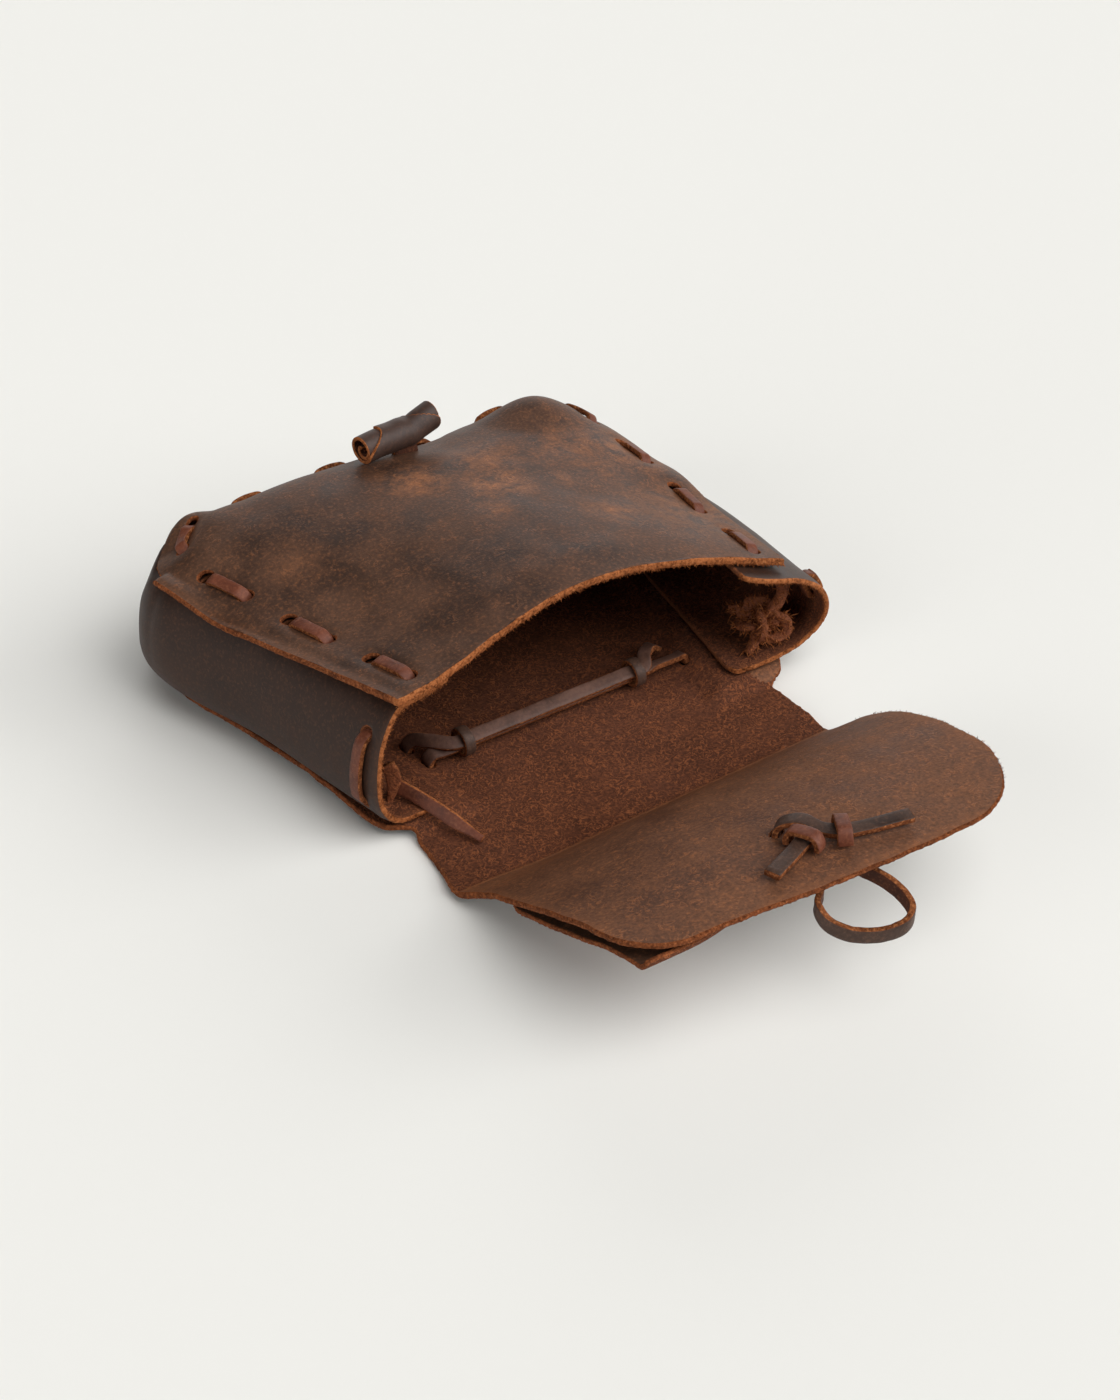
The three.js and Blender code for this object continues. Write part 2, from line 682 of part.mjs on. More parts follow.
// Stub of lace that carries the toggle, through a slot in the front panel
const stubBelow = 4.4;
const stubTurn = toggleRight.clone().sub(toggleLeft).setZ(0).normalize();
const stubTop = toggleMiddle.clone().setZ(toggleMiddle.z - rollRadius - gap);
const stubSlot = { point: toggleMiddle.clone().setZ(stubTop.z - stubBelow / 2), normal: up };
const stubPunch = punch(stubSlot, up.clone().cross(stubTurn), stubBelow, stubBelow, laceThick + 2 * gap);
function stubLace() {
  const ends = [stubTop.clone().setZ(stubTop.z - stubBelow), stubTop];
  return lace(ends.map((point) => ({ point, across: stubTurn })));
}

// Closing loop. Its tails lie on the flap, each under a band, and its legs go down through two slots.
// Each row: place on the flap (x, y), height over the flap's middle surface, and the way the lace is wide.
function onFlap({ x, y, height }) {
  const along = flapAlong(y);
  const { point, normal } = onSurface(backAt, (x / backHalf(along)) * patternHalf, along);
  return { point: point.addScaledVector(normal, height), normal };
}
const flapAlong = column(
  backRows.map((row) => ({ along: row.y, place: row.along })),
  "place",
);
const rightTail = [
  { x: 24.3, y: -174.3, height: 3.0, wide: [0.39, 0.92, 0] },
  { x: 9.6, y: -168.8, height: 2.9, wide: [0.45, 0.89, 0] },
  { x: 5.6, y: -166.6, height: 3.0, wide: [0.53, 0.85, 0] },
  { x: 1.6, y: -163.2, height: 4.6, wide: [0.7, 0.7, 0] },
  { x: -0.9, y: -159.6, height: 7.3, wide: [0.8, 0.6, 0] },
  { x: -3.6, y: -156.4, height: 6.8, wide: [0.81, 0.59, 0] },
  { x: -5.5, y: -154.2, height: 3.4, wide: [0.81, 0.59, 0] },
  { x: -6, y: -153.5, height: 0.2, wide: [0.81, 0.59, 0] },
  { x: -5.9, y: -153.7, height: -2.6, wide: [0.81, 0.5, 0] },
  { x: -5.6, y: -157, height: -5.2, wide: [0.9, 0.2, 0.3] },
  { x: -6.2, y: -165, height: -5.8, wide: [0.5, 0, 0.87] },
];
const leftTailRows = [
  { x: 5.6, y: -171.4, height: -5.8, wide: [0, 0.1, 1] },
  { x: 2.4, y: -166.4, height: -5.2, wide: [-0.3, 0.5, 0.7] },
  { x: 0.2, y: -162.5, height: -2.6, wide: [-0.41, 0.91, 0] },
  { x: 0, y: -161.9, height: 0.2, wide: [-0.41, 0.91, 0] },
  { x: -0.8, y: -162.3, height: 2.4, wide: [-0.41, 0.91, 0] },
  { x: -4.2, y: -163.9, height: 3.0, wide: [-0.41, 0.91, 0] },
  { x: -8.6, y: -166, height: 2.9, wide: [-0.41, 0.91, 0] },
  { x: -20.7, y: -171.7, height: 3.0, wide: [-0.41, 0.91, 0] },
];
// The open loop in front of the flap, its lace on edge
const loopRows = [
  { at: [-8, -175.3, 37] },
  { at: [-11, -178, 35] },
  { at: [-11.3, -182, 32.6] },
  { at: [-8.3, -187, 30.8] },
  { at: [-3, -191, 30] },
  { at: [2.5, -193.6, 30.4] },
  { at: [7.5, -194.3, 31.5] },
  { at: [10.9, -192.2, 32.8] },
  { at: [11.7, -188, 34.4] },
  { at: [10.4, -182.2, 36.2] },
  { at: [8.1, -177.2, 37.2] },
];
function closureLace() {
  const place = (row) => ({ at: onFlap(row).point.toArray(), wide: row.wide });
  const loop = loopRows.map(({ at }) => ({ at, wide: [0, 0, 1] }));
  const places = [...rightTail.map(place), ...loop, ...leftTailRows.map(place)];
  return lace(route(places, closureSteps));
}
const closureSteps = 64;
const closurePunches = [
  { x: -6, y: -153.5, height: 0, ahead: [-0.59, 0.81, 0] },
  { x: 0, y: -161.9, height: 0, ahead: [0.91, 0.41, 0] },
].map((slot) => punch(onFlap(slot), new THREE.Vector3(...slot.ahead), leather, leather));

// A band bent over a tail, its two ends on the flap: reach counts along the band, height over the flap
const bandWide = 4.4;
const bandThick = 1.7;
const bandRows = [
  { reach: -4.7, height: 1.75 },
  { reach: -4.7, height: 3.6 },
  { reach: -3.5, height: 5.7 },
  { reach: 0, height: 6.1 },
  { reach: 3.5, height: 5.7 },
  { reach: 4.7, height: 3.6 },
  { reach: 4.7, height: 1.75 },
];
const bands = {
  left: { x: -5.1, y: -164.4, way: [-0.41, 0.91] },
  right: { x: 6.1, y: -166.9, way: [0.5, 0.87] },
};
function band({ x, y, way }) {
  const across = new THREE.Vector3(-way[1], way[0], 0);
  const points = bandRows.map(({ reach, height }) => ({
    point: onFlap({ x: x + reach * way[0], y: y + reach * way[1], height }).point,
    across,
  }));
  return lace(points, bandWide, bandThick);
}

// Knotted lace ends inside the right side
const knotSize = 5.6;
const knotThick = 1.7;
const knotPlace = new THREE.Vector3(77, -44, 18);

// Colours of the faces
const colours = {
  grain: 0x4a2f22,
  dark: 0x33241e,
  suede: 0x5a3421,
  lace: 0x5b2f20,
  darkLace: 0x3a2620,
};
function add(name, geometry, color, roughness = 0.7) {
  const mesh = new THREE.Mesh(geometry, new THREE.MeshStandardMaterial({ color, roughness, metalness: 0 }));
  mesh.name = name;
  bag.add(mesh);
  return mesh;
}

const backTools = [...backPunches, ...strapPunches, ...closurePunches];
add("back_panel", pierced(sheet(backGrid, leather), backTools), colours.suede, 0.85);
add("flap_underlay", sheet(underlayGrid, underlayThick), colours.dark);
const gussetTools = [...frontPunches, ...backPunches, ...sidePunches];
add("gusset", pierced(sheet(gussetGrid, leather), gussetTools), colours.dark, 0.55);
const frontTools = [...frontPunches, stubPunch];
add("front_panel", pierced(sheet(frontGrid, leather), frontTools), colours.grain, 0.6);
add("front_lace", runningLace(frontSeam), colours.lace);
add("back_lace", runningLace(backSeam), colours.lace);
add("gusset_lace_left", sideLace(sideStitches.left, leftTail), colours.lace);
add("gusset_lace_right", sideLace(sideStitches.right), colours.lace);
const knot = add("lace_knot", new THREE.TorusKnotGeometry(knotSize, knotThick, 32, 5), colours.lace, 0.9);
knot.position.copy(knotPlace);
knot.rotation.y = -0.9;
add("strap_lace_upper", strapLace(strapHoles.upperLeft, strapHoles.upperRight, 1), colours.darkLace);
add("strap_lace_lower", strapLace(strapHoles.lowerLeft, strapHoles.lowerRight, -1), colours.darkLace);
for (const side of ["left", "right"]) {
  const keeper = add("keeper_" + side, ring(keeperOuter, keeperThick, keeperWide), colours.darkLace);
  keeper.rotation.z = Math.PI / 2;
  keeper.position.set(keeperX[side], keeperY, keeperZ);
}
const roll = add("toggle", rolledStrip(), colours.darkLace, 0.5);
roll.position.copy(toggleMiddle);
roll.quaternion.setFromUnitVectors(up, toggleRight.clone().sub(toggleLeft).normalize());
add("toggle_lace", stubLace(), colours.darkLace);
add("closure_lace", closureLace(), colours.darkLace);
for (const side of ["left", "right"]) add("knot_band_" + side, band(bands[side]), colours.lace);

export default bag;
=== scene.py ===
# A hand-laced leather bag that lies on its back with its flap open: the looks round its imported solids.
# Shapes are worked out in millimetres on the same patterns as the solids; meshes are in metres, +Z up.
import math

import bpy
import numpy as np
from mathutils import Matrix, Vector


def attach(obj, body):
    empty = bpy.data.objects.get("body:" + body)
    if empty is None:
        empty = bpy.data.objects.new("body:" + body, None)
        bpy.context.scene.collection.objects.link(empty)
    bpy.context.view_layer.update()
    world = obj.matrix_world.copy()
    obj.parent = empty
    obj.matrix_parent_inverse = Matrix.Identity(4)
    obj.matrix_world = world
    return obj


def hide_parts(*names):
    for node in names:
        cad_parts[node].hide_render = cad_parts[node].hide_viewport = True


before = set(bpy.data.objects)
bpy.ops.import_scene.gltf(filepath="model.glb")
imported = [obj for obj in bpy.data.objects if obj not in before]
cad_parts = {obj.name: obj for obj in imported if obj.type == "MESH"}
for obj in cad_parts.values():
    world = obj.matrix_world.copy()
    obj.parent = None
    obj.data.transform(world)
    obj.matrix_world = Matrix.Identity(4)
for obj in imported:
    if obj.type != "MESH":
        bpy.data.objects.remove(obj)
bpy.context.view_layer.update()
mm = 0.001
chance = np.random.default_rng(11)
print("frame loaded:", len(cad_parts), "solids")

viewpoint = {
    "azimuth": -34.3, "elevation": 38.0,  # degrees
    "distance": 0.733, "target": (0.007706, -0.025082, 0.0),  # metres
    "focal": 2200, "longSide": 1400,  # pixels
}


def setCamera():
    turn, rise = math.radians(viewpoint["azimuth"]), math.radians(viewpoint["elevation"])
    back = Vector((math.sin(turn) * math.cos(rise), -math.cos(turn) * math.cos(rise), math.sin(rise)))
    lens = bpy.data.cameras.new("camera")
    lens.sensor_width = 36
    lens.lens = viewpoint["focal"] / viewpoint["longSide"] * lens.sensor_width
    lens.clip_start, lens.clip_end = 0.01, 50
    camera = bpy.data.objects.new("camera", lens)
    camera.location = Vector(viewpoint["target"]) + back * viewpoint["distance"]
    camera.rotation_euler = (-back).to_track_quat("-Z", "Y").to_euler()
    bpy.context.scene.collection.objects.link(camera)
    bpy.context.scene.camera = camera


setCamera()
print("camera set")


# Small sums that the shapes share

def blendTo(low, high, share):
    return low + (high - low) * share


def smoothStep(value, low, high):
    t = np.clip((value - low) / (high - low), 0, 1)
    return t * t * (3 - 2 * t)


def unit(vectors):
    return vectors / np.maximum(np.linalg.norm(vectors, axis=-1, keepdims=True), 1e-9)


def readTable(names, rows):
    # each named column as a smooth function of the first: cubics through the rows, sloped by their neighbours
    at, *columns = np.array(rows, float).T
    across = np.r_[at[1:], at[-1]] - np.r_[at[0], at[:-1]]

    def smoothColumn(value):
        slope = (np.r_[value[1:], value[-1]] - np.r_[value[0], value[:-1]]) / across

        def read(place):
            i = np.clip(np.searchsorted(at, place, "left") - 1, 0, len(at) - 2)
            span = at[i + 1] - at[i]
            t = np.clip((place - at[i]) / span, 0, 1)
            return (
                value[i] * (2 * t**3 - 3 * t**2 + 1) + slope[i] * span * (t**3 - 2 * t**2 + t)
                + value[i + 1] * (3 * t**2 - 2 * t**3) + slope[i + 1] * span * (t**3 - t**2)
            )
        return read
    return {name: smoothColumn(column) for name, column in zip(names.split()[1:], columns)}


latticeSize = 61
lattice = chance.random((latticeSize, latticeSize))


def drift(u, v, size, shift=0):
    # a smooth random field from -1 to 1: seeded values on a square lattice, blended between by smooth steps
    x, y = u / size + 7.3 * shift, v / size + 3.1 * shift
    i, j = np.floor(x).astype(int), np.floor(y).astype(int)
    s, t = smoothStep(x - i, 0, 1), smoothStep(y - j, 0, 1)
    i0, i1, j0, j1 = i % latticeSize, (i + 1) % latticeSize, j % latticeSize, (j + 1) % latticeSize
    low = blendTo(lattice[i0, j0], lattice[i1, j0], s)
    high = blendTo(lattice[i0, j1], lattice[i1, j1], s)
    return 2 * blendTo(low, high, t) - 1


def onSurface(surface, u, v, reach=0.4):
    # a surface's points and unit normals, from its slopes along u and v
    du = surface(u + reach, v) - surface(u - reach, v)
    dv = surface(u, v + reach) - surface(u, v - reach)
    return surface(u, v), unit(np.cross(du, dv))


# Pattern of the bag

hide = {"thick": 2.6, "gap": 0.35, "shown": 2.2}  # shown is the hide without the slack of a layer
pattern = {
    "half": 90, "long": 140, "corner": 30, "panelCorner": 29,
    "mouthY": -57.5, "bottomY": 79, "creaseY": -90,
    "flapLong": 103.5, "flapSkew": 4.5, "flapCornerLeft": 17, "flapCornerRight": 31,
    "edgeLift": 3.0, "topFlange": 22, "bottomFlange": 22,
    "frontInset": 10, "backInset": 15.5, "flapDroop": 5.7, "neckLift": 2.0,
}
panelTable = readTable("along yEdge yMid xLeft xRight zLeft zRight zMid", [
    (0, -57.5, -50, -69.5, 73.5, 55, 48, 63.9), (17, -41, -34.4, -73.5, 76.5, 52.8, 45.5, 65),
    (57, -1, 2, -86, 80.5, 49.6, 42, 63.5), (87, 29, 30, -96, 83, 47.6, 40, 61),
    (101, 43, 44.5, -100, 83.5, 46.5, 39.5, 59.5), (117, 56.5, 60, -97, 82.5, 45, 39, 56.2),
    (129, 64.5, 70.5, -92, 80.5, 40.5, 36.5, 49.3), (140, 69, 76.5, -87, 78, 33, 31, 39),
])
dents = [  # across, along, reach, height
    (20, 116, 26, -2.4), (62, 118, 24, 6.4), (-30, 112, 26, 0.8), (-72, 120, 22, 2.6), (86, 66, 24, 2.4),
    (-77, 132, 17, 7.0), (-78, 118, 15, -2.8),
]
backRows = [  # along, y, z
    (-105.6, -183, 44.9), (-87.5, -165, 42.5), (-72.2, -150, 39.5), (-56.4, -135, 34.5), (-39.8, -120, 27.5),
    (-22.6, -106, 17.5), (-7, -95.2, 6.2), (0, -90, 1.9), (6, -84, 1.35), (12, -78, 1.3), (20, -70, 1.3),
    (169, 79, 1.3),
]
backTable = readTable("along y z", backRows)
backHalf = readTable("along half", [
    (-101, 68), (-60, 70), (-25, 69.5), (0, 69), (12, 70), (28, 69.5), (33, 70), (37, 73), (41, 74), (61, 79),
    (95, 86.5), (135, 96.5), (169, 98),
])["half"]
wallTable = readTable("place leaves lands above below reach", [
    (0, 3, 4, 10, 18, 17), (57, 5, 4, 8, 15, 22), (95, 4, 4, 10, 19, 22), (125, 0, 4, 8, 17, 22),
    (160, 0, 4, 8, 13, 22), (242, 0, 4, 8, 13, 22), (278, 0, 5, 9, 17, 22), (320, 1, 7, 29, 30, 20.5),
    (402.8, 2, 8, 30, 38, 19.5),
])


def panelAt(across, along):
    # front panel: rows from the mouth down, each an arch over a slanted chord, with round dents and swellings
    a = across / pattern["half"]
    mouthArch = np.maximum(1 - a * a, 0) ** np.where(a < 0, 1.9, 1.05)
    bottomArch = 1 - np.minimum(np.abs(a), 1) ** np.where(a < 0, 4.0, 5.5)
    arch = blendTo(mouthArch, bottomArch, smoothStep(along, 40, 110))
    side = (a + 1) / 2
    row = {name: read(along) for name, read in panelTable.items()}
    z = blendTo(row["zLeft"], row["zRight"], side) + (row["zMid"] - (row["zLeft"] + row["zRight"]) / 2) * arch
    for u, v, reach, height in dents:
        z = z + height * (1 - smoothStep(np.hypot(across - u, along - v), 0, reach))
    x = blendTo(row["xLeft"], row["xRight"], side)
    return np.stack([x, blendTo(row["yEdge"], row["yMid"], arch), z], -1)


leftMargin = {"wide": 6.5, "lift": 3.5, "sink": 0.6}  # its ear stands up and the margin above it sinks


def panelWithEar(across, along):
    # the same, with the pointed ear of its left margin turned up and the slow waves of worn hide
    point = panelAt(across, along)
    outer = 1 - smoothStep(across, -pattern["half"], -pattern["half"] + leftMargin["wide"])
    point[..., 2] += leftMargin["lift"] * outer * (smoothStep(along, 74, 100) - smoothStep(along, 102, 106))
    point[..., 2] -= leftMargin["sink"] * outer * (1 - smoothStep(along, 70, 96))
    point[..., 2] += 0.35 * drift(across, along, 26, 1) + 0.15 * drift(across, along, 9, 2)
    for u, v, depth in lacingPulls:
        point[..., 2] -= depth * (1 - smoothStep(np.hypot(across - u, along - v), 0, lacing["pullReach"]))
    return point


def insetOf(across, along):
    dx = np.abs(across) - (pattern["half"] - pattern["corner"])
    dy = along - (pattern["long"] - pattern["corner"])
    outside = np.hypot(np.maximum(dx, 0), np.maximum(dy, 0))
    return pattern["corner"] - outside - np.minimum(np.maximum(dx, dy), 0)


def downPanel(y):
    # a place of the back as the distance down from the mouth on the front panel
    return (y - pattern["mouthY"]) / (pattern["bottomY"] - pattern["mouthY"]) * pattern["long"]


def backAt(across, along):
    # back, neck and flap: a flat sheet with a lifted margin, bent up at the crease; along counts from there
    share = across / pattern["half"]
    skew = pattern["flapSkew"] * share * (1 - smoothStep(along, -pattern["flapLong"], -40))
    y = backTable["y"](along) - skew
    down = downPanel(y)
    margin = 1 - smoothStep(insetOf(across, down), pattern["bottomFlange"] + 1, pattern["bottomFlange"] + 13)
    z = backTable["z"](along) + pattern["edgeLift"] * margin * smoothStep(y, -62, -54)
    eased = 1 - 0.2 * smoothStep(-along, 45, 62) - 0.6 * smoothStep(-along, 60, 100)
    sag = smoothStep(-along, 0, 38) * eased
    z = z - pattern["flapDroop"] * smoothStep(-across, 35, 90) * sag
    z = z + pattern["neckLift"] * smoothStep(-across, 50, 90) * np.exp(-((along - 1) / 11) ** 2)
    return np.stack([share * backHalf(along), y, z], -1)


def backOnPattern(across, along):
    y = blendTo(pattern["mouthY"], pattern["bottomY"], along / pattern["long"])
    return backAt(across, y - pattern["creaseY"])


sideRun = pattern["long"] - pattern["corner"]
cornerRun = (pattern["corner"] - pattern["frontInset"]) * math.pi / 2
seamLong = 2 * sideRun + 2 * cornerRun + 2 * (pattern["half"] - pattern["corner"])


def seamAt(place, inset):
    # the lacing line: down the left side, round the bottom and up the right, a distance in from the edge
    mirrored = place > seamLong / 2
    half = np.where(mirrored, seamLong - place, place)
    centre, radius = pattern["half"] - pattern["corner"], pattern["corner"] - inset
    turn = np.clip((half - sideRun) / cornerRun, 0, 1) * math.pi / 2
    past = np.maximum(half - sideRun - cornerRun, 0)
    across = centre + radius * np.cos(turn) - past
    along = np.minimum(half, sideRun) + radius * np.sin(turn)
    return np.where(mirrored, across, -across), along


def onSeam(surface, place, inset):
    return onSurface(surface, *seamAt(place, inset))


gussetRuns = {"top": 22.0, "wall": 62.0, "bottom": 18.0}  # its section from the front panel to the back
gussetLong = sum(gussetRuns.values())
cornerFold = {"way": np.array([-2.0, 2.8, 1.6]), "place": 127, "reach": 13}


def gussetAt(place, section):
    # one strip round three sides: a flange under the front panel, a wall on a cubic curve and
    # a flange on the back
    leaves, lands, reach = (wallTable[name](place) for name in ("leaves", "lands", "reach"))
    top, wall, bottom = (gussetRuns[name] for name in ("top", "wall", "bottom"))

    def under(inset):
        point, normal = onSeam(panelAt, place, inset)
        return point - normal * (hide["thick"] + 2.4 * hide["gap"])

    def over(inset):
        point, normal = onSeam(backOnPattern, place, inset)
        return point + normal * (hide["thick"] + hide["gap"])

    first, last = under(leaves), over(lands)
    second = first + unit(first - under(leaves + 1)) * wallTable["above"](place)[..., None]
    third = last + unit(last - over(lands + 1)) * wallTable["below"](place)[..., None]
    t = np.clip((section - top) / wall, 0, 1)[..., None]
    curve = (1 - t) ** 3 * first + 3 * (1 - t) ** 2 * t * second + 3 * (1 - t) * t**2 * third + t**3 * last
    upper = under(blendTo(pattern["topFlange"], leaves, np.clip(section / top, 0, 1)))
    lower = over(blendTo(lands, reach, np.clip((section - top - wall) / bottom, 0, 1)))
    section = section[..., None]
    return np.where(section < top, upper, np.where(section > top + wall, lower, curve))


def gussetSheet(place, section):
    # the same, carried straight on past the mouth, where the strip is longer than the panels; a fold of it
    # stands out past the front panel at the left bottom corner
    kept = np.clip(place, 1.0, seamLong - 1.0)
    step = np.where(place > seamLong / 2, -3.0, 3.0)
    here = gussetAt(kept, section)
    slope = (gussetAt(kept + step, section) - here) / step[..., None]
    fold = np.exp(-((place - cornerFold["place"]) / cornerFold["reach"]) ** 2)
    fold = fold * smoothStep(section, 20, 31) * (1 - smoothStep(section, 34, 56))
    return here + slope * (place - kept)[..., None] + fold[..., None] * cornerFold["way"]


# Where the lace goes through the seams

lacing = {
    "wide": 4.2, "thick": 1.7, "dive": 7.2, "lean": 0.6,
    "holeLong": 4.6, "holeWide": 4.9, "holeCorner": 2.3, "holeAt": 7.9,
    "pull": 0.6, "pullReach": 7, "bottomPull": 0.35, "proud": 1.1,  # proud is the arch of the bottom stitches
    "frontMiddles": 17 + 33.7 * np.arange(12), "backMiddles": 87.4 + 38 * np.arange(7),
}
holePlaces = {
    side: np.concatenate([lacing[side] - lacing["holeAt"], lacing[side] + lacing["holeAt"]])
    for side in ("frontMiddles", "backMiddles")
}


def frontInset(place):
    # the stitches of the left side lie further in, and most so the one round the bottom corner
    left = 1.4 * (1 - smoothStep(place, 75, 105))
    corner = 3.5 * np.exp(-((place - 118) / 14) ** 2)
    return pattern["frontInset"] + left + corner


def onBottom(place):
    return smoothStep(place, 125, 150) * (1 - smoothStep(place, 262, 285))


def backInset(place):
    return np.full(np.shape(place), pattern["backInset"])


pullPlaces = (lacing["frontMiddles"][:, None] + lacing["holeAt"] * np.array([-1, -0.33, 0.33, 1])).ravel()
pullDepths = lacing["pull"] + lacing["bottomPull"] * onBottom(pullPlaces)
lacingPulls = np.stack([*seamAt(pullPlaces, frontInset(pullPlaces)), pullDepths], -1)


# Meshes

def newPiece(name, points, groups, finishes, wearAndLight=None, slot=None, stands=()):
    # puts points in mm and groups of (faces, finish) into one mesh, rides it on the bag
    # and hides what it stands for
    mesh = bpy.data.meshes.new(name)
    corners = np.concatenate([faces.ravel() for faces, _ in groups]).astype(np.int32)
    counts = np.concatenate([np.full(len(faces), faces.shape[1]) for faces, _ in groups])
    finishOf = np.concatenate([np.broadcast_to(which, len(faces)) for faces, which in groups])
    mesh.vertices.add(len(points))
    mesh.vertices.foreach_set("co", (points * mm).astype(np.float32).ravel())
    mesh.loops.add(len(corners))
    mesh.loops.foreach_set("vertex_index", corners)
    mesh.polygons.add(len(counts))
    mesh.polygons.foreach_set("loop_start", (np.cumsum(counts) - counts).astype(np.int32))
    mesh.polygons.foreach_set("material_index", finishOf.astype(np.int32))
    mesh.polygons.foreach_set("use_smooth", np.ones(len(counts), bool))
    mesh.update(calc_edges=True)
    wornAndLit = np.zeros(len(points)) if wearAndLight is None else wearAndLight
    mesh.attributes.new("wearAndLight", "FLOAT", "POINT").data.foreach_set("value", wornAndLit.astype(np.float32))
    for finish in finishes:
        mesh.materials.append(finish)
    piece = bpy.data.objects.new(name, mesh)
    bpy.context.scene.collection.objects.link(piece)
    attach(piece, "root")
    if stands:
        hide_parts(*stands)
    print(name, "made:", len(points), "points")
    return piece


def strands(roots, ways, longest, thick, loose=0.45):
    # frayed fibres: three-sided, bent at random and tapered to a point
    count = len(roots)
    long = longest * chance.uniform(0.3, 1, count)[:, None]
    way = unit(ways + loose * chance.standard_normal((count, 3)))
    bend = unit(chance.standard_normal((count, 3)))
    side = unit(np.cross(way, bend))
    t = np.array([0, 0.35, 0.7, 1])
    ahead, aside = (long * t)[..., None], (0.35 * long * t**2)[..., None]
    middle = roots[:, None] + way[:, None] * ahead + bend[:, None] * aside
    turn = np.radians([90, 210, 330])[:, None]
    ring = side[:, None] * np.cos(turn) + np.cross(way, side)[:, None] * np.sin(turn)
    radius = thick / 2 * np.array([1, 0.85, 0.55, 0.15])
    points = middle[:, :, None] + ring[:, None] * radius[:, None, None]
    first = 12 * np.arange(count)[:, None, None]
    k, c = 3 * np.arange(3)[:, None], np.arange(3)[None, :]
    span = np.stack([k + c, k + (c + 1) % 3, k + 3 + (c + 1) % 3, k + 3 + c], -1).reshape(1, 9, 4)
    caps = np.array([[[0, 2, 1], [9, 10, 11]]])
    return points.reshape(-1, 3), [((first + span).reshape(-1, 4), 2), ((first + caps).reshape(-1, 3), 2)]


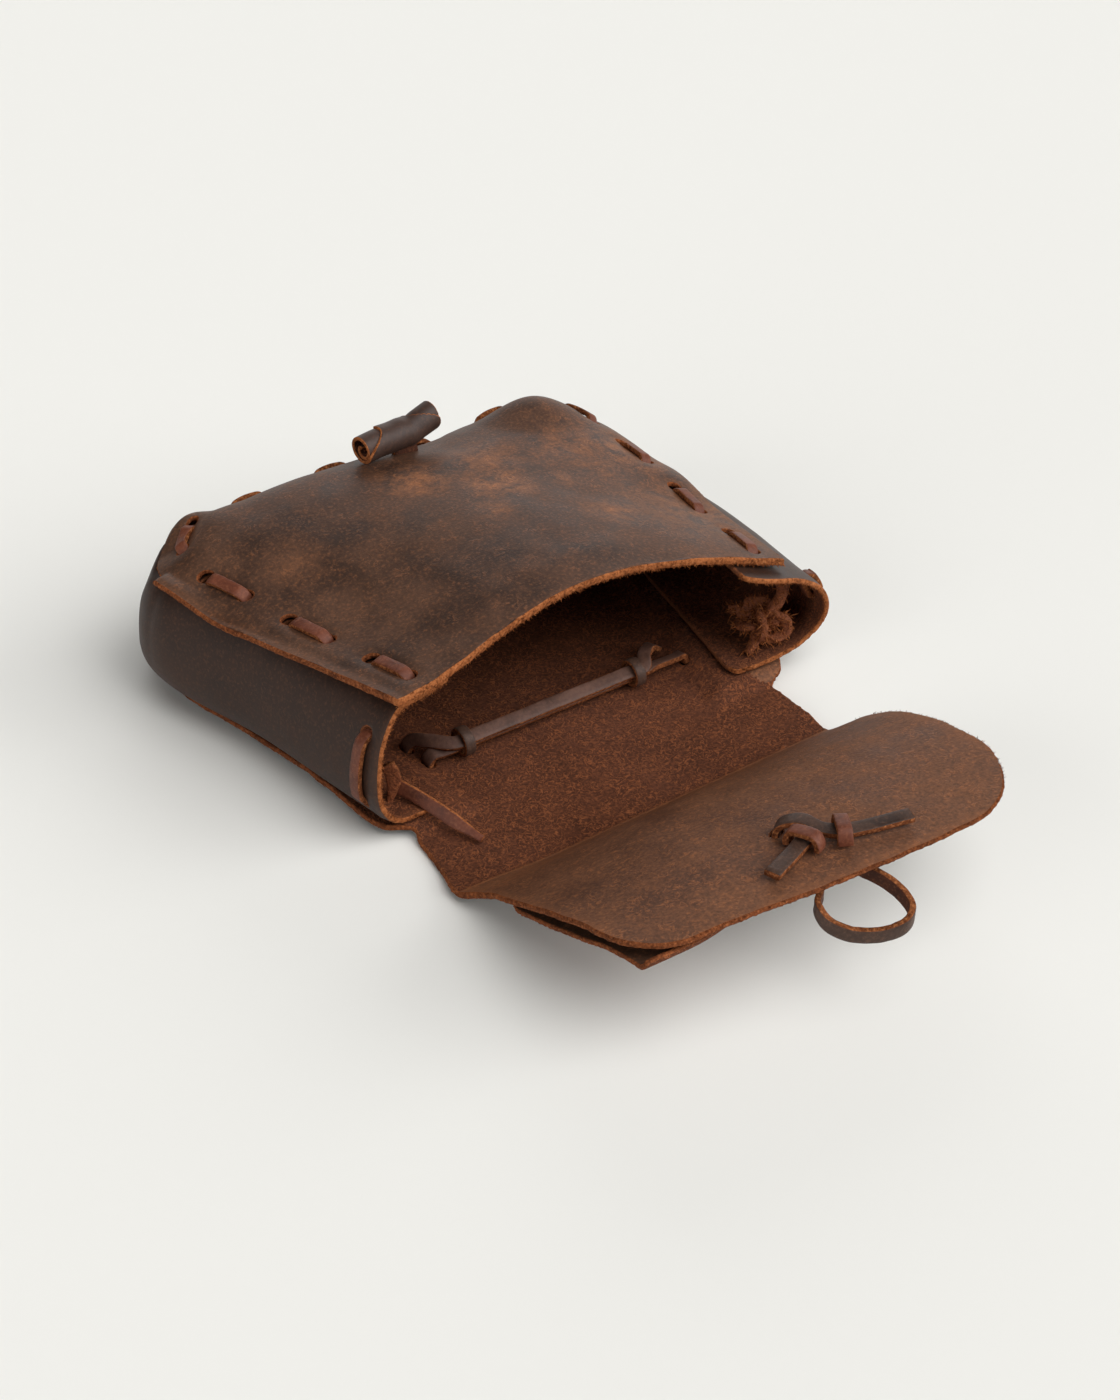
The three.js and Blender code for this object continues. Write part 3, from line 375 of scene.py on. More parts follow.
def cutHide(
    surface, low, high, cell, inside, thick,
    faceOf=None, rimOf=None, wearAndLightOf=None, rounding=0.5, rough=0.1, fringe=None,
):
    # A piece cut from hide. A grid is laid over the pattern; inside() is the distance in from the cut line.
    # Grid points near the line are drawn onto it and those outside are dropped; the rest is the middle of the
    # hide, moved half the thickness along its normals each way, with a rim of rings on a rounded profile.
    steps = [int(math.ceil((b - a) / cell)) + 1 for a, b in zip(low, high)]
    u, v = np.meshgrid(*[a + cell * np.arange(n) for a, n in zip(low, steps)], indexing="ij")
    away = inside(u, v)
    near = np.abs(away) < 0.55 * cell
    for _ in range(3):
        off, h = inside(u, v), 0.02
        slopeU = (inside(u + h, v) - inside(u - h, v)) / (2 * h)
        slopeV = (inside(u, v + h) - inside(u, v - h)) / (2 * h)
        scale = np.where(near, off / np.maximum(slopeU**2 + slopeV**2, 0.3), 0)
        u, v = u - scale * slopeU, v - scale * slopeV
    kind = np.where(near, 0, np.sign(away)).ravel()
    number = np.arange(u.size).reshape(u.shape)
    quads = np.stack([number[:-1, :-1], number[1:, :-1], number[1:, 1:], number[:-1, 1:]], -1).reshape(-1, 4)
    corners = kind[quads]
    outside = (corners < 0).sum(1)
    within = (corners > 0).any(1)
    whole = quads[(outside == 0) & within]
    clipped, clippedKind = quads[(outside == 1) & within], corners[(outside == 1) & within]
    first = (np.argmax(clippedKind < 0, 1)[:, None] + np.arange(1, 4)) % 4
    clipped = np.take_along_axis(clipped, first, 1)
    used, renumbered = np.unique(np.concatenate([whole.ravel(), clipped.ravel()]), return_inverse=True)
    whole = renumbered[:whole.size].reshape(-1, 4)
    clipped = renumbered[whole.size:].reshape(-1, 3)
    u, v = u.ravel()[used], v.ravel()[used]
    middle, normal = onSurface(surface, u, v)

    edges = [np.stack([faces, np.roll(faces, -1, 1)], -1).reshape(-1, 2) for faces in (whole, clipped)]
    edges = np.concatenate(edges)
    count = len(u)
    lone = edges[~np.isin(edges[:, 0] * count + edges[:, 1], edges[:, 1] * count + edges[:, 0])]
    outward = np.zeros_like(middle)
    for end in (0, 1):
        side = unit(np.cross(middle[lone[:, 1]] - middle[lone[:, 0]], normal[lone[:, end]]))
        np.add.at(outward, lone[:, end], side)
    outward = unit(outward)
    rim = np.unique(lone)
    place = np.full(count, -1)
    place[rim] = np.arange(len(rim))
    half = (np.full(count, thick) if np.isscalar(thick) else thick(u, v)) / 2
    inset = np.zeros(count)
    inset[rim] = rounding
    upper = middle + normal * half[:, None] - outward * inset[:, None]
    lower = middle - normal * half[:, None] - outward * inset[:, None]
    edge = half[rim]
    steps = [(-0.3, edge - 0.3 * rounding), (0, edge - rounding), (0.1, 0 * edge), (0, rounding - edge)]
    steps += [(-0.3, 0.3 * rounding - edge)]
    rings = [upper[rim]]
    for out, up in steps:
        shift = out * rounding + rough * chance.standard_normal(len(rim))
        rings.append(middle[rim] + outward[rim] * shift[:, None] + normal[rim] * up[:, None])
    points = np.concatenate([upper, lower, *rings[1:]])
    between = [2 * count + k * len(rim) + np.arange(len(rim)) for k in range(len(steps))]
    start = [rim, *between, count + rim]
    a, b = place[lone[:, 0]], place[lone[:, 1]]
    walls = [np.stack([one[b], one[a], two[a], two[b]], -1) for one, two in zip(start, start[1:])]
    wearAndLight = np.zeros(count) if wearAndLightOf is None else wearAndLightOf(u, v)
    wearAndLight = np.concatenate([wearAndLight, wearAndLight, np.ones(len(rim) * len(steps))])
    faceOf = faceOf or (lambda u, v: np.zeros(len(u), int))
    chosen = [faceOf(u[faces].mean(1), v[faces].mean(1)) for faces in (whole, clipped)]
    groups = [
        (whole, chosen[0]), (clipped, chosen[1]),
        (whole[:, ::-1] + count, 1), (clipped[:, ::-1] + count, 1),
    ]
    rimFinish = np.full(len(lone), 2) if rimOf is None else rimOf(u[lone].mean(1), v[lone].mean(1))
    groups += [(wall, rimFinish) for wall in walls]
    if fringe:
        # fibres along the cut line, on the flesh side of the hide
        picked = rim[chance.random(len(rim)) < fringe["share"](u[rim], v[rim])]
        picked = np.repeat(picked, fringe["each"])
        along = middle[lone[:, 1]] - middle[lone[:, 0]]
        ahead = np.zeros_like(middle)
        ahead[lone[:, 0]] = along
        up = fringe["side"] * half[picked] * chance.uniform(0.2, 0.95, len(picked))
        slide = ahead[picked] * chance.uniform(-0.5, 0.5, len(picked))[:, None]
        roots = middle[picked] + normal[picked] * up[:, None] + slide - 0.2 * outward[picked]
        ways = outward[picked] * 0.7 + normal[picked] * fringe["side"] * 0.6
        points, groups = joinShapes([(points, groups), strands(roots, ways, fringe["long"], fringe["thick"])])
        wearAndLight = np.concatenate([wearAndLight, np.ones(len(points) - len(wearAndLight))])
    return points, groups, wearAndLight


def slotAway(surface, centre, way, long, wide, corner):
    # distance outside a round-cornered slot at a pattern point, long along way, measured on the surface
    cu, cv = (np.float64(c) for c in centre)
    stretchU = np.linalg.norm(surface(cu + 0.5, cv) - surface(cu - 0.5, cv))
    stretchV = np.linalg.norm(surface(cu, cv + 0.5) - surface(cu, cv - 0.5))
    ahead = np.array([way[0] * stretchU, way[1] * stretchV])
    ahead = ahead / np.hypot(*ahead)

    def away(u, v):
        du, dv = (u - cu) * stretchU, (v - cv) * stretchV
        p = np.abs(du * ahead[0] + dv * ahead[1]) - (long / 2 - corner)
        q = np.abs(dv * ahead[0] - du * ahead[1]) - (wide / 2 - corner)
        return np.hypot(np.maximum(p, 0), np.maximum(q, 0)) + np.minimum(np.maximum(p, q), 0) - corner
    return away


def roundCorner(a, b, radius):
    # distance in from two edges that meet in a round corner
    return np.where((a < radius) & (b < radius), radius - np.hypot(radius - a, radius - b), np.minimum(a, b))


def smoothRoute(knots, steps):
    # points on a curve that passes all knots, eased by the square root of their spacing
    knots = np.array(knots, float)
    padded = np.concatenate([2 * knots[:1] - knots[1:2], knots, 2 * knots[-1:] - knots[-2:-1]])
    t = np.linspace(0, len(knots) - 1, steps + 1)
    i = np.minimum(t.astype(int), len(knots) - 2)
    t = (t - i)[:, None]
    p0, p1, p2, p3 = (padded[i + k] for k in range(4))
    pairs = (p0, p1), (p1, p2), (p2, p3)
    d0, d1, d2 = (np.sqrt(np.linalg.norm(b - a, axis=1, keepdims=True)) + 1e-6 for a, b in pairs)
    m1 = ((p1 - p0) / d0 - (p2 - p0) / (d0 + d1) + (p2 - p1) / d1) * d1
    m2 = ((p2 - p1) / d1 - (p3 - p1) / (d1 + d2) + (p3 - p2) / d2) * d1
    return p1 + m1 * t + (-3 * p1 + 3 * p2 - 2 * m1 - m2) * t**2 + (2 * p1 - 2 * p2 + m1 + m2) * t**3


def laceSection(wide, thick, corner=0.4, crown=0.08):
    # a round-cornered oblong, anticlockwise from its right side, its top a little crowned; its spans
    # 1 to 6 are the top and 10 to 15 the back
    quarter = np.radians([0, 45, 90])
    cx, cy = wide / 2 - corner, thick / 2 - corner
    across = np.array([0.5, 0, -0.5]) * cx
    parts = [
        np.stack([cx + corner * np.cos(quarter), cy + corner * np.sin(quarter)], 1),
        np.stack([across, np.full(3, thick / 2)], 1),
        np.stack([-cx - corner * np.sin(quarter), cy + corner * np.cos(quarter)], 1),
        np.stack([-cx - corner * np.cos(quarter), -cy - corner * np.sin(quarter)], 1),
        np.stack([-across, np.full(3, -thick / 2)], 1),
        np.stack([cx + corner * np.sin(quarter), -cy - corner * np.cos(quarter)], 1),
    ]
    section = np.concatenate(parts)
    section[:, 1] += crown * (1 - (2 * section[:, 0] / wide) ** 2) * (section[:, 1] > 0)
    return section


def carryLace(path, across, wide, thick, taper=None, closed=False, rough=0.05, grain=0, cut=1, back=1):
    # a flat lace: its section carried along a path, wide along the given direction;
    # taper narrows it by its place
    count = len(path)
    if closed:
        ahead = unit(np.roll(path, -1, 0) - np.roll(path, 1, 0))
    else:
        ahead = unit(np.concatenate([path[1:], path[-1:]]) - np.concatenate([path[:1], path[:-1]]))
    w = unit(across - ahead * (across * ahead).sum(1, keepdims=True))
    n = np.cross(ahead, w)
    section = laceSection(wide, thick)
    m = len(section)
    narrow = np.ones(count) if taper is None else taper(np.linspace(0, 1, count))
    uneven = 1 + rough * drift(np.arange(count)[:, None] * 0.7, np.arange(m)[None, :] * 1.0, 1.7, wide)
    x = section[None, :, 0] * narrow[:, None] * uneven
    points = path[:, None] + w[:, None] * x[..., None] + n[:, None] * section[None, :, 1, None]
    k = np.arange(count if closed else count - 1)[:, None]
    c = np.arange(m)[None, :]
    nextRing, nextSpan = (k + 1) % count, (c + 1) % m
    quads = np.stack([k * m + c, k * m + nextSpan, nextRing * m + nextSpan, nextRing * m + c], -1)
    span = np.broadcast_to(np.arange(m), quads.shape[:2])
    which = np.where((span >= 1) & (span <= 6), grain, np.where((span >= 10) & (span <= 15), back, cut))
    groups = [(quads.reshape(-1, 4), which.ravel())]
    if not closed:
        groups += [(np.arange(m)[None, ::-1], cut), ((count - 1) * m + np.arange(m)[None, :], cut)]
    return points.reshape(-1, 3), groups


def joinShapes(shapes):
    points, groups, start = [], [], 0
    for shapePoints, shapeGroups in shapes:
        points.append(shapePoints)
        groups += [(faces + start, which) for faces, which in shapeGroups]
        start += len(shapePoints)
    return np.concatenate(points), groups


# Finishes

def tint(red, green, blue):
    # an on-screen colour of 0 to 255 as the linear colour that a shader takes
    part = np.array([red, green, blue]) / 255
    linear = np.where(part <= 0.04045, part / 12.92, ((part + 0.055) / 1.055) ** 2.4)
    return (*linear.tolist(), 1.0)


def nodeMaker(material):
    tree = material.node_tree

    def put(kind, inputs=None, **settings):
        made = tree.nodes.new("ShaderNode" + kind)
        for key, value in settings.items():
            setattr(made, key, value)
        for key, value in (inputs or {}).items():
            if isinstance(value, bpy.types.NodeSocket):
                tree.links.new(value, made.inputs[key])
            else:
                made.inputs[key].default_value = value
        return made
    return put


def hideFinish(name, look):
    # worn hide: blotches of two tones, fine mottling, fibres along the crests of a noise's level lines,
    # rubbed places and painted light round given points, worn places and painted highlights from an attribute
    material = bpy.data.materials.new(name)
    material.use_nodes = True
    material.node_tree.nodes.clear()
    put = nodeMaker(material)
    where = put("TexCoord").outputs["Object"]

    def noise(scale, detail=2.0, rough=0.5, twist=0.0):
        inputs = {"Vector": where, "Scale": scale, "Detail": detail, "Roughness": rough, "Distortion": twist}
        return put("TexNoise", inputs).outputs["Fac"]

    def ranged(value, low, high, toLow=0.0, toHigh=1.0):
        inputs = {"Value": value, "From Min": low, "From Max": high, "To Min": toLow, "To Max": toHigh}
        return put("MapRange", inputs).outputs["Result"]

    def maths(operation, a, b=0.0):
        return put("Math", {0: a, 1: b}, operation=operation).outputs[0]

    def mixed(share, low, high):
        return put("Mix", {0: share, 6: low, 7: high}, data_type="RGBA").outputs[2]

    blotch = ranged(noise(look["blotch"], 5.0, 0.65), 0.36, 0.66)
    slow = ranged(noise(look["blotch"] / 4, 2.0), 0.38, 0.68)
    colour = mixed(blotch, look["dark"], look["tone"])
    colour = mixed(maths("MULTIPLY", slow, look["lift"]), colour, look["light"])
    rubAndPaintedLight = 0.0
    # lighter round each given point: rubbed wear, and painted light for the broad patches on the right
    for x, y, z, reach, share in look.get("rubbedAndPaintedLight", []):
        centre = (x * mm, y * mm, z * mm)
        far = put("VectorMath", {0: where, 1: centre}, operation="DISTANCE").outputs["Value"]
        rubAndPaintedLight = maths("MAXIMUM", ranged(far, 0.0, reach * mm, share, 0.0), rubAndPaintedLight)
    if "rubbedAndPaintedLight" in look:
        rubAndPaintedLight = maths("MULTIPLY", rubAndPaintedLight, ranged(noise(140, 6.0, 0.75, 0.4), 0.4, 0.6))
        colour = mixed(maths("MULTIPLY", rubAndPaintedLight, 0.85), colour, look["rubbedAndPaintedLightColour"])
    mottle = noise(look["mottle"], 3.0, 0.6)
    colour = mixed(maths("MULTIPLY", ranged(mottle, 0.5, 0.3), look["mottled"]), colour, look["deep"])
    paler = maths("MULTIPLY", ranged(mottle, 0.52, 0.72), look["mottled"])
    colour = mixed(paler, colour, look["fibreColour"])
    level = noise(look["curl"], 2.0, 0.5, 0.5)
    wave = maths("PINGPONG", maths("MULTIPLY", level, look["bands"]), 0.5)
    crest = ranged(wave, 0.5 - look["line"], 0.47)
    broken = ranged(noise(look["curl"] * 0.55, 2.0), look["sparse"], look["sparse"] + 0.16)
    fibre = maths("MULTIPLY", crest, broken)
    colour = mixed(maths("MULTIPLY", ranged(wave, 0.2, 0.0), look["trough"]), colour, look["deep"])
    colour = mixed(maths("MULTIPLY", fibre, look["fibre"]), colour, look["fibreColour"])
    if "rubbedAndPaintedLight" in look:
        colour = mixed(maths("MULTIPLY", crest, rubAndPaintedLight), colour, look["rubbedAndPaintedLightColour"])
    # the attribute holds worn edges, and on the back also the crease's painted highlight and the painted
    # light past it
    wearAndLight = put("Attribute", attribute_name="wearAndLight").outputs["Fac"]
    ragged = maths("MULTIPLY", wearAndLight, ranged(noise(500, 3.0), 0.3, 0.7, 0.35, 1.0))
    colour = mixed(maths("MULTIPLY", ragged, look["wornAndLit"]), colour, look["wornAndLitColour"])
    height = maths("ADD", maths("MULTIPLY", fibre, look["fibreHeight"]), noise(look["grain"], 3.0, 0.6))
    height = maths("ADD", height, maths("MULTIPLY", mottle, look["fibreHeight"]))
    bump = put("Bump", {"Strength": look["bump"], "Distance": 0.0003, "Height": height}).outputs["Normal"]
    rough = ranged(blotch, 0.0, 1.0, look["roughLow"], look["roughHigh"])
    shader = put("BsdfPrincipled", {
        "Base Color": colour, "Roughness": rough, "Normal": bump,
        "Specular IOR Level": look["gloss"], "Sheen Weight": look["sheen"], "Sheen Roughness": 0.5,
    })
    shader.inputs["Sheen Tint"].default_value = look["fibreColour"]
    put("OutputMaterial", {"Surface": shader.outputs["BSDF"]})
    return material


plainLook = {
    "dark": tint(54, 37, 28), "tone": tint(84, 57, 42), "light": tint(98, 68, 50), "lift": 0.5,
    "deep": tint(38, 24, 17), "blotch": 70, "mottle": 900, "mottled": 0.35,
    "curl": 380, "bands": 4.0, "line": 0.16, "sparse": 0.5, "trough": 0.0,
    "fibre": 0.32, "fibreColour": tint(148, 94, 60),
    "wornAndLit": 0.5, "wornAndLitColour": tint(150, 92, 54), "fibreHeight": 0.6, "grain": 1600, "bump": 0.3,
    "roughLow": 0.5, "roughHigh": 0.62, "gloss": 0.25, "sheen": 0.05,
}
# small patches are rubbed wear; the three broad ones on the right slope (reach 24 to 40) are painted light
# where the lamps from the right fall
panelLook = {**plainLook, "rubbedAndPaintedLight": [  # place, reach and strength of each patch
    (12, 17, 63, 16, 0.8), (-11, 34, 63, 16, 0.75), (34, 10, 63, 9, 0.5), (36, -16, 61, 14, 0.5),
    (0, 1, 64, 9, 0.5), (18, 36, 62, 18, 0.55), (50, 28, 61, 24, 0.5), (66, 24, 52, 40, 0.45),
    (70, -20, 48, 40, 0.4), (-63, 17, 60, 14, 0.18),
], "rubbedAndPaintedLightColour": tint(170, 106, 62)}
gussetLook = {
    **plainLook, "dark": tint(44, 28, 21), "tone": tint(56, 37, 28), "light": tint(64, 43, 33), "lift": 0.3,
    "deep": tint(30, 20, 15), "mottled": 0.12, "fibre": 0.05, "fibreHeight": 0.1, "bump": 0.12,
    "roughLow": 0.45, "roughHigh": 0.55, "gloss": 0.2, "sheen": 0.0, "wornAndLit": 0.25,
}
flapLook = {
    **plainLook, "dark": tint(88, 58, 43), "tone": tint(116, 77, 55), "light": tint(124, 83, 56),
    "blotch": 60, "lift": 0.4,
    "deep": tint(60, 38, 28), "mottled": 0.45, "sparse": 0.42, "trough": 0.2,
    "fibre": 0.5, "fibreColour": tint(160, 100, 62),
    "bump": 0.4, "roughLow": 0.6, "roughHigh": 0.72, "gloss": 0.2, "sheen": 0.08, "wornAndLit": 0.8,
}
suedeLook = {
    **plainLook, "dark": tint(78, 44, 29), "tone": tint(98, 57, 38), "light": tint(98, 62, 48), "blotch": 50,
    "deep": tint(44, 24, 16), "mottled": 0.45, "curl": 430, "bands": 5.0, "line": 0.2,
    "sparse": 0.36, "trough": 0.5,
    "fibre": 0.7, "fibreColour": tint(150, 88, 54), "fibreHeight": 1.3, "bump": 0.7,
    "roughLow": 0.8, "roughHigh": 0.92, "gloss": 0.12, "sheen": 0.15,
}
cutLook = {
    **plainLook, "dark": tint(128, 72, 38), "tone": tint(166, 98, 56), "light": tint(172, 104, 60),
    "blotch": 300,
    "deep": tint(70, 36, 19), "mottle": 1100, "mottled": 0.85, "curl": 420, "fibre": 0.3,
    "fibreColour": tint(184, 118, 72),
    "fibreHeight": 1.5, "bump": 0.9,
    "roughLow": 0.85, "roughHigh": 0.95, "gloss": 0.1, "sheen": 0.1, "wornAndLit": 0.0,
}
flapCutLook = {
    **cutLook, "dark": tint(88, 48, 27), "tone": tint(126, 70, 40), "light": tint(134, 76, 44),
    "fibreColour": tint(164, 98, 58),
}
laceLook = {
    **plainLook, "dark": tint(80, 42, 29), "tone": tint(110, 61, 43), "light": tint(117, 66, 47),
    "blotch": 160,
    "deep": tint(60, 32, 23), "mottle": 900, "mottled": 0.25, "curl": 420, "fibre": 0.15,
    "fibreColour": tint(164, 104, 72),
    "bump": 0.25, "roughLow": 0.45, "roughHigh": 0.55, "gloss": 0.22, "wornAndLit": 0.0,
}
laceCutLook = {**cutLook, "dark": tint(92, 50, 28), "tone": tint(130, 75, 43), "light": tint(138, 81, 48)}
darkLaceLook = {
    **laceLook, "dark": tint(52, 37, 30), "tone": tint(74, 54, 44), "light": tint(82, 60, 50),
    "deep": tint(38, 26, 21),
    "fibreColour": tint(132, 92, 70),
}
strapLook = {**darkLaceLook, "dark": tint(75, 52, 43), "tone": tint(101, 72, 61), "light": tint(108, 79, 67)}
laceBackLook = {
    **laceLook, "dark": tint(58, 32, 22), "tone": tint(78, 44, 31), "light": tint(84, 50, 36),
    "roughLow": 0.6, "roughHigh": 0.75,
    "gloss": 0.12,
}
knotLook = {**suedeLook, "dark": tint(112, 62, 40), "tone": tint(146, 86, 57), "light": tint(152, 94, 66)}
toggleLook = {
    **gussetLook, "dark": tint(50, 35, 29), "tone": tint(70, 51, 43), "light": tint(80, 60, 51),
    "wornAndLit": 0.8, "gloss": 0.3,
}
panelFinish = hideFinish("front_grain", panelLook)
gussetFinish = hideFinish("gusset_grain", gussetLook)
flapFinish = hideFinish("flap_flesh", flapLook)
suedeFinish = hideFinish("inside_suede", suedeLook)
cutFinish = hideFinish("cut_edge", cutLook)
flapCutFinish = hideFinish("flap_edge", flapCutLook)
laceBackFinish = hideFinish("lace_flesh", laceBackLook)
knotFinish = hideFinish("frayed_lace", knotLook)
laceFinish = hideFinish("lace_grain", laceLook)
laceCutFinish = hideFinish("lace_cut", laceCutLook)
darkLaceFinish = hideFinish("dark_lace", darkLaceLook)
strapFinish = hideFinish("strap_grain", strapLook)
toggleFinish = hideFinish("toggle_grain", toggleLook)
print("finishes made")


# Lacing holes and the running laces

def seamHoles(surface, places, inset):
    # a round hole at each place of the lacing line
    holes = []
    for place in places:
        here, ahead = seamAt(place, inset(place)), seamAt(place + 0.5, inset(place))
        centre, way = [float(c) for c in here], [float(b - a) for a, b in zip(here, ahead)]
        holes.append(slotAway(
            surface, centre, way, lacing["holeLong"], lacing["holeWide"], lacing["holeCorner"]))
    return holes


def runningLace(name, node, surface, inset, facing, middles):
    # out at one hole, along the face, in at the next and on behind the flange, by heights over the panel
    inner = -(1.5 * hide["thick"] + 3.6 * hide["gap"] + lacing["thick"] / 2)
    outer = hide["shown"] / 2 + lacing["thick"] / 2
    through = [(-3.4, inner - 0.3), (-1.1, inner + 0.7), (-0.3, -1.6), (0.5, 0.5), (2.2, outer)]
    start = [(-lacing["dive"] + ahead, height) for ahead, height in through]
    crown = [(-3.5, outer + 0.12), (0, outer + 0.18), (3.5, outer + 0.12)]
    stitch = start + crown + [(-a, h) for a, h in start[::-1]]
    lean = lacing["lean"] * np.sign(middles - seamLong / 2)
    place = ((middles + lean)[:, None] + np.array([a for a, _ in stitch])).ravel()[2:-2]
    height = np.tile([h for _, h in stitch], len(middles))[2:-2]
    if facing > 0:
        offset = np.tile([a for a, _ in stitch], len(middles))[2:-2]
        arch = np.maximum(1 - (offset / lacing["dive"]) ** 2, 0)
        height = height + lacing["proud"] * onBottom(place) * arch * (height > 0)
    point, normal = onSeam(surface, place, inset(place))
    ahead = unit(onSeam(surface, place + 0.5, inset(place))[0] - point)
    steps = 6 * (len(place) - 1)
    path = smoothRoute(point + normal * facing * height[:, None], steps)
    side = smoothRoute(np.cross(normal * facing, ahead), steps)
    points, groups = carryLace(path, side, lacing["wide"], lacing["thick"])
    return newPiece(name, points, groups, [laceFinish, laceCutFinish], slot="lace", stands=[node])


runningLace("front_lacing", "front_lace", panelWithEar, frontInset, 1, lacing["frontMiddles"])
runningLace("back_lacing", "back_lace", backOnPattern, backInset, -1, lacing["backMiddles"])


# Front panel

frontCut = {"cell": 0.85, "earStart": 104, "earStep": 4, "wave": 0.25, "margin": 3.0}
toggleAt = {"left": np.array([-17.2, 56.6, 64.3]), "right": np.array([13.4, 61.5, 64.9])}
frontHoles = seamHoles(panelAt, holePlaces["frontMiddles"], frontInset)


def insideFront(across, along):
    half, long = pattern["half"], pattern["long"]
    left = half + across + frontCut["margin"] * (1 - 0.6 * smoothStep(along, 60, 100))
    main = np.minimum(
        roundCorner(half - across, long - along, pattern["panelCorner"]),
        roundCorner(left - frontCut["earStep"], long - along, pattern["panelCorner"]),
    )
    ear = np.minimum(left, frontCut["earStart"] - along)
    away = np.minimum(np.maximum(main, np.minimum(ear, half - across)), along)
    away = away + frontCut["wave"] * drift(across, along, 7, 3)
    for hole in frontHoles:
        away = np.minimum(away, hole(across, along))
    return away


def frontWear(across, along):
    half = pattern["half"]
    rim = np.minimum(np.minimum(half - np.abs(across), along), pattern["long"] - along)
    return 0.3 * (1 - smoothStep(rim, 0, 3))


def frontThick(across, along):
    # full at the mouth, pared down behind it
    return blendTo(2.5, 1.9, smoothStep(along, 4, 40))


mouthFringe = {
    "share": lambda across, along: 0.9 * (along < 1.5), "each": 3, "side": -1, "long": 1.1, "thick": 0.28,
}
points, groups, wearAndLight = cutHide(
    panelWithEar, (-95, -2), (92, 142), frontCut["cell"], insideFront, frontThick, wearAndLightOf=frontWear,
    rimOf=lambda across, along: np.where(along < 2, 2, 3), fringe=mouthFringe)
frontFinishes = [panelFinish, suedeFinish, cutFinish, flapCutFinish]
newPiece("front_hide", points, groups, frontFinishes, wearAndLight, "panel_leather", ["front_panel"])


# Back panel, neck and flap

backCut = {"cell": 1.0, "wave": 0.3}
strapHoles = {"upperLeft": (-49.4, -20.9), "lowerLeft": (-47.2, -30.8), "lowerRight": (52.6, -33.9)}
flapAlong = readTable("y along", [(y, along) for along, y, _ in backRows])["along"]


def sheetPlace(x, y):
    along = flapAlong(np.asarray(y, float))
    return np.asarray(x, float) / backHalf(along) * pattern["half"], along


def onSheet(x, y, height):
    point, normal = onSurface(backAt, *sheetPlace(x, y))
    return point + normal * np.asarray(height, float)[..., None]


backHoles = seamHoles(backOnPattern, holePlaces["backMiddles"], backInset)
slotSizes = {"strap": (3.2, 5.2, 1.5), "tail": (2.8, 5.2, 1.3)}  # long, wide and corner
tailSlots = [((-6, -153.5), (-0.59, 0.81)), ((0, -161.9), (0.91, 0.41))]  # in the flap: place and way
backSlots = [slotAway(backAt, sheetPlace(*at), (1, 0), *slotSizes["strap"]) for at in strapHoles.values()]
backSlots += [slotAway(backAt, sheetPlace(*at), way, *slotSizes["tail"]) for at, way in tailSlots]


cutEdges = readTable("along left right", [  # how far the cut stands out past the half width
    (-104, 0, 0), (-85, 0, 0.4), (-55, 0, 2.6), (-25, 0, 2.4), (-12, 0.8, 0.8), (2, 4.0, 0), (14, 0.6, 0),
    (25, -0.2, 0), (29.5, -0.6, 0), (33, -1.8, 5.5), (36, 0.9, 5.5), (39, 2.9, 5.5), (43, 3.4, 5.5),
    (60, 1, 2.8), (75, 0, 0),
])
flapEnd = readTable("x past", [
    (-70, -1.8), (-45, -1.2), (-15, 0.8), (15, 1.0), (45, 0.2), (70, -0.5),
])["past"]


def insideBack(across, along):
    half = backHalf(along)
    x = across / pattern["half"] * half
    left = half + cutEdges["left"](along) + x
    right = half + cutEdges["right"](along) - x
    end = along + pattern["flapLong"] + flapEnd(x)
    bottom = pattern["bottomY"] - pattern["creaseY"] - along
    away = np.minimum.reduce([
        roundCorner(left, end, pattern["flapCornerLeft"]),
        roundCorner(right, end, pattern["flapCornerRight"]),
        roundCorner(left, bottom, pattern["corner"]),
        roundCorner(right, bottom, pattern["corner"]),
    ])
    away = away + backCut["wave"] * drift(x, along, 6, 4)
    down = downPanel(along + pattern["creaseY"])
    for hole in backHoles:
        away = np.minimum(away, hole(across, down))
    for hole in backSlots:
        away = np.minimum(away, hole(across, along))
    return away


# worn flap edges, a burnished crease line with a painted highlight, and painted light on a band just past the
# crease
def backWearAndPaintedLight(across, along):
    half = backHalf(along)
    rim = np.minimum(half - np.abs(across / pattern["half"] * half), along + pattern["flapLong"])
    # the crease line: burnished, with a painted highlight where the fold's edge catches the light
    crease = np.exp(-((along + 0.8) / 0.9) ** 2)
    # painted light: a lighter band on the flap past the crease, where its steep slope turns away from the
    # lamps
    bend = 0.4 * np.exp(-((along + 9) / 8) ** 2)
    return np.maximum((np.maximum(0.5 * (1 - smoothStep(rim, 0, 4)), bend)) * (along < 0), crease)


def backSheet(across, along):
    point = backAt(across, along)
    wave = 0.3 * drift(across, along, 22, 5) + 0.12 * drift(across, along, 8, 6)
    point[..., 2] += wave * smoothStep(-along, -5, 20) - (hide["thick"] - hide["shown"]) / 2
    return point


def backThick(across, along):
    # the flap pared down, most towards its front and right
    return hide["shown"] - (0.35 + 0.3 * smoothStep(across, -85, -20)) * smoothStep(-along, 2, 30)


def backFace(across, along):
    # the flap and the tab under the right side show the other finish
    tab = (along > 30.5) & (along < 42) & (across > 88 - 1.5 * (along - 30.5))
    return np.where((along < 0) | tab, 3, 0)


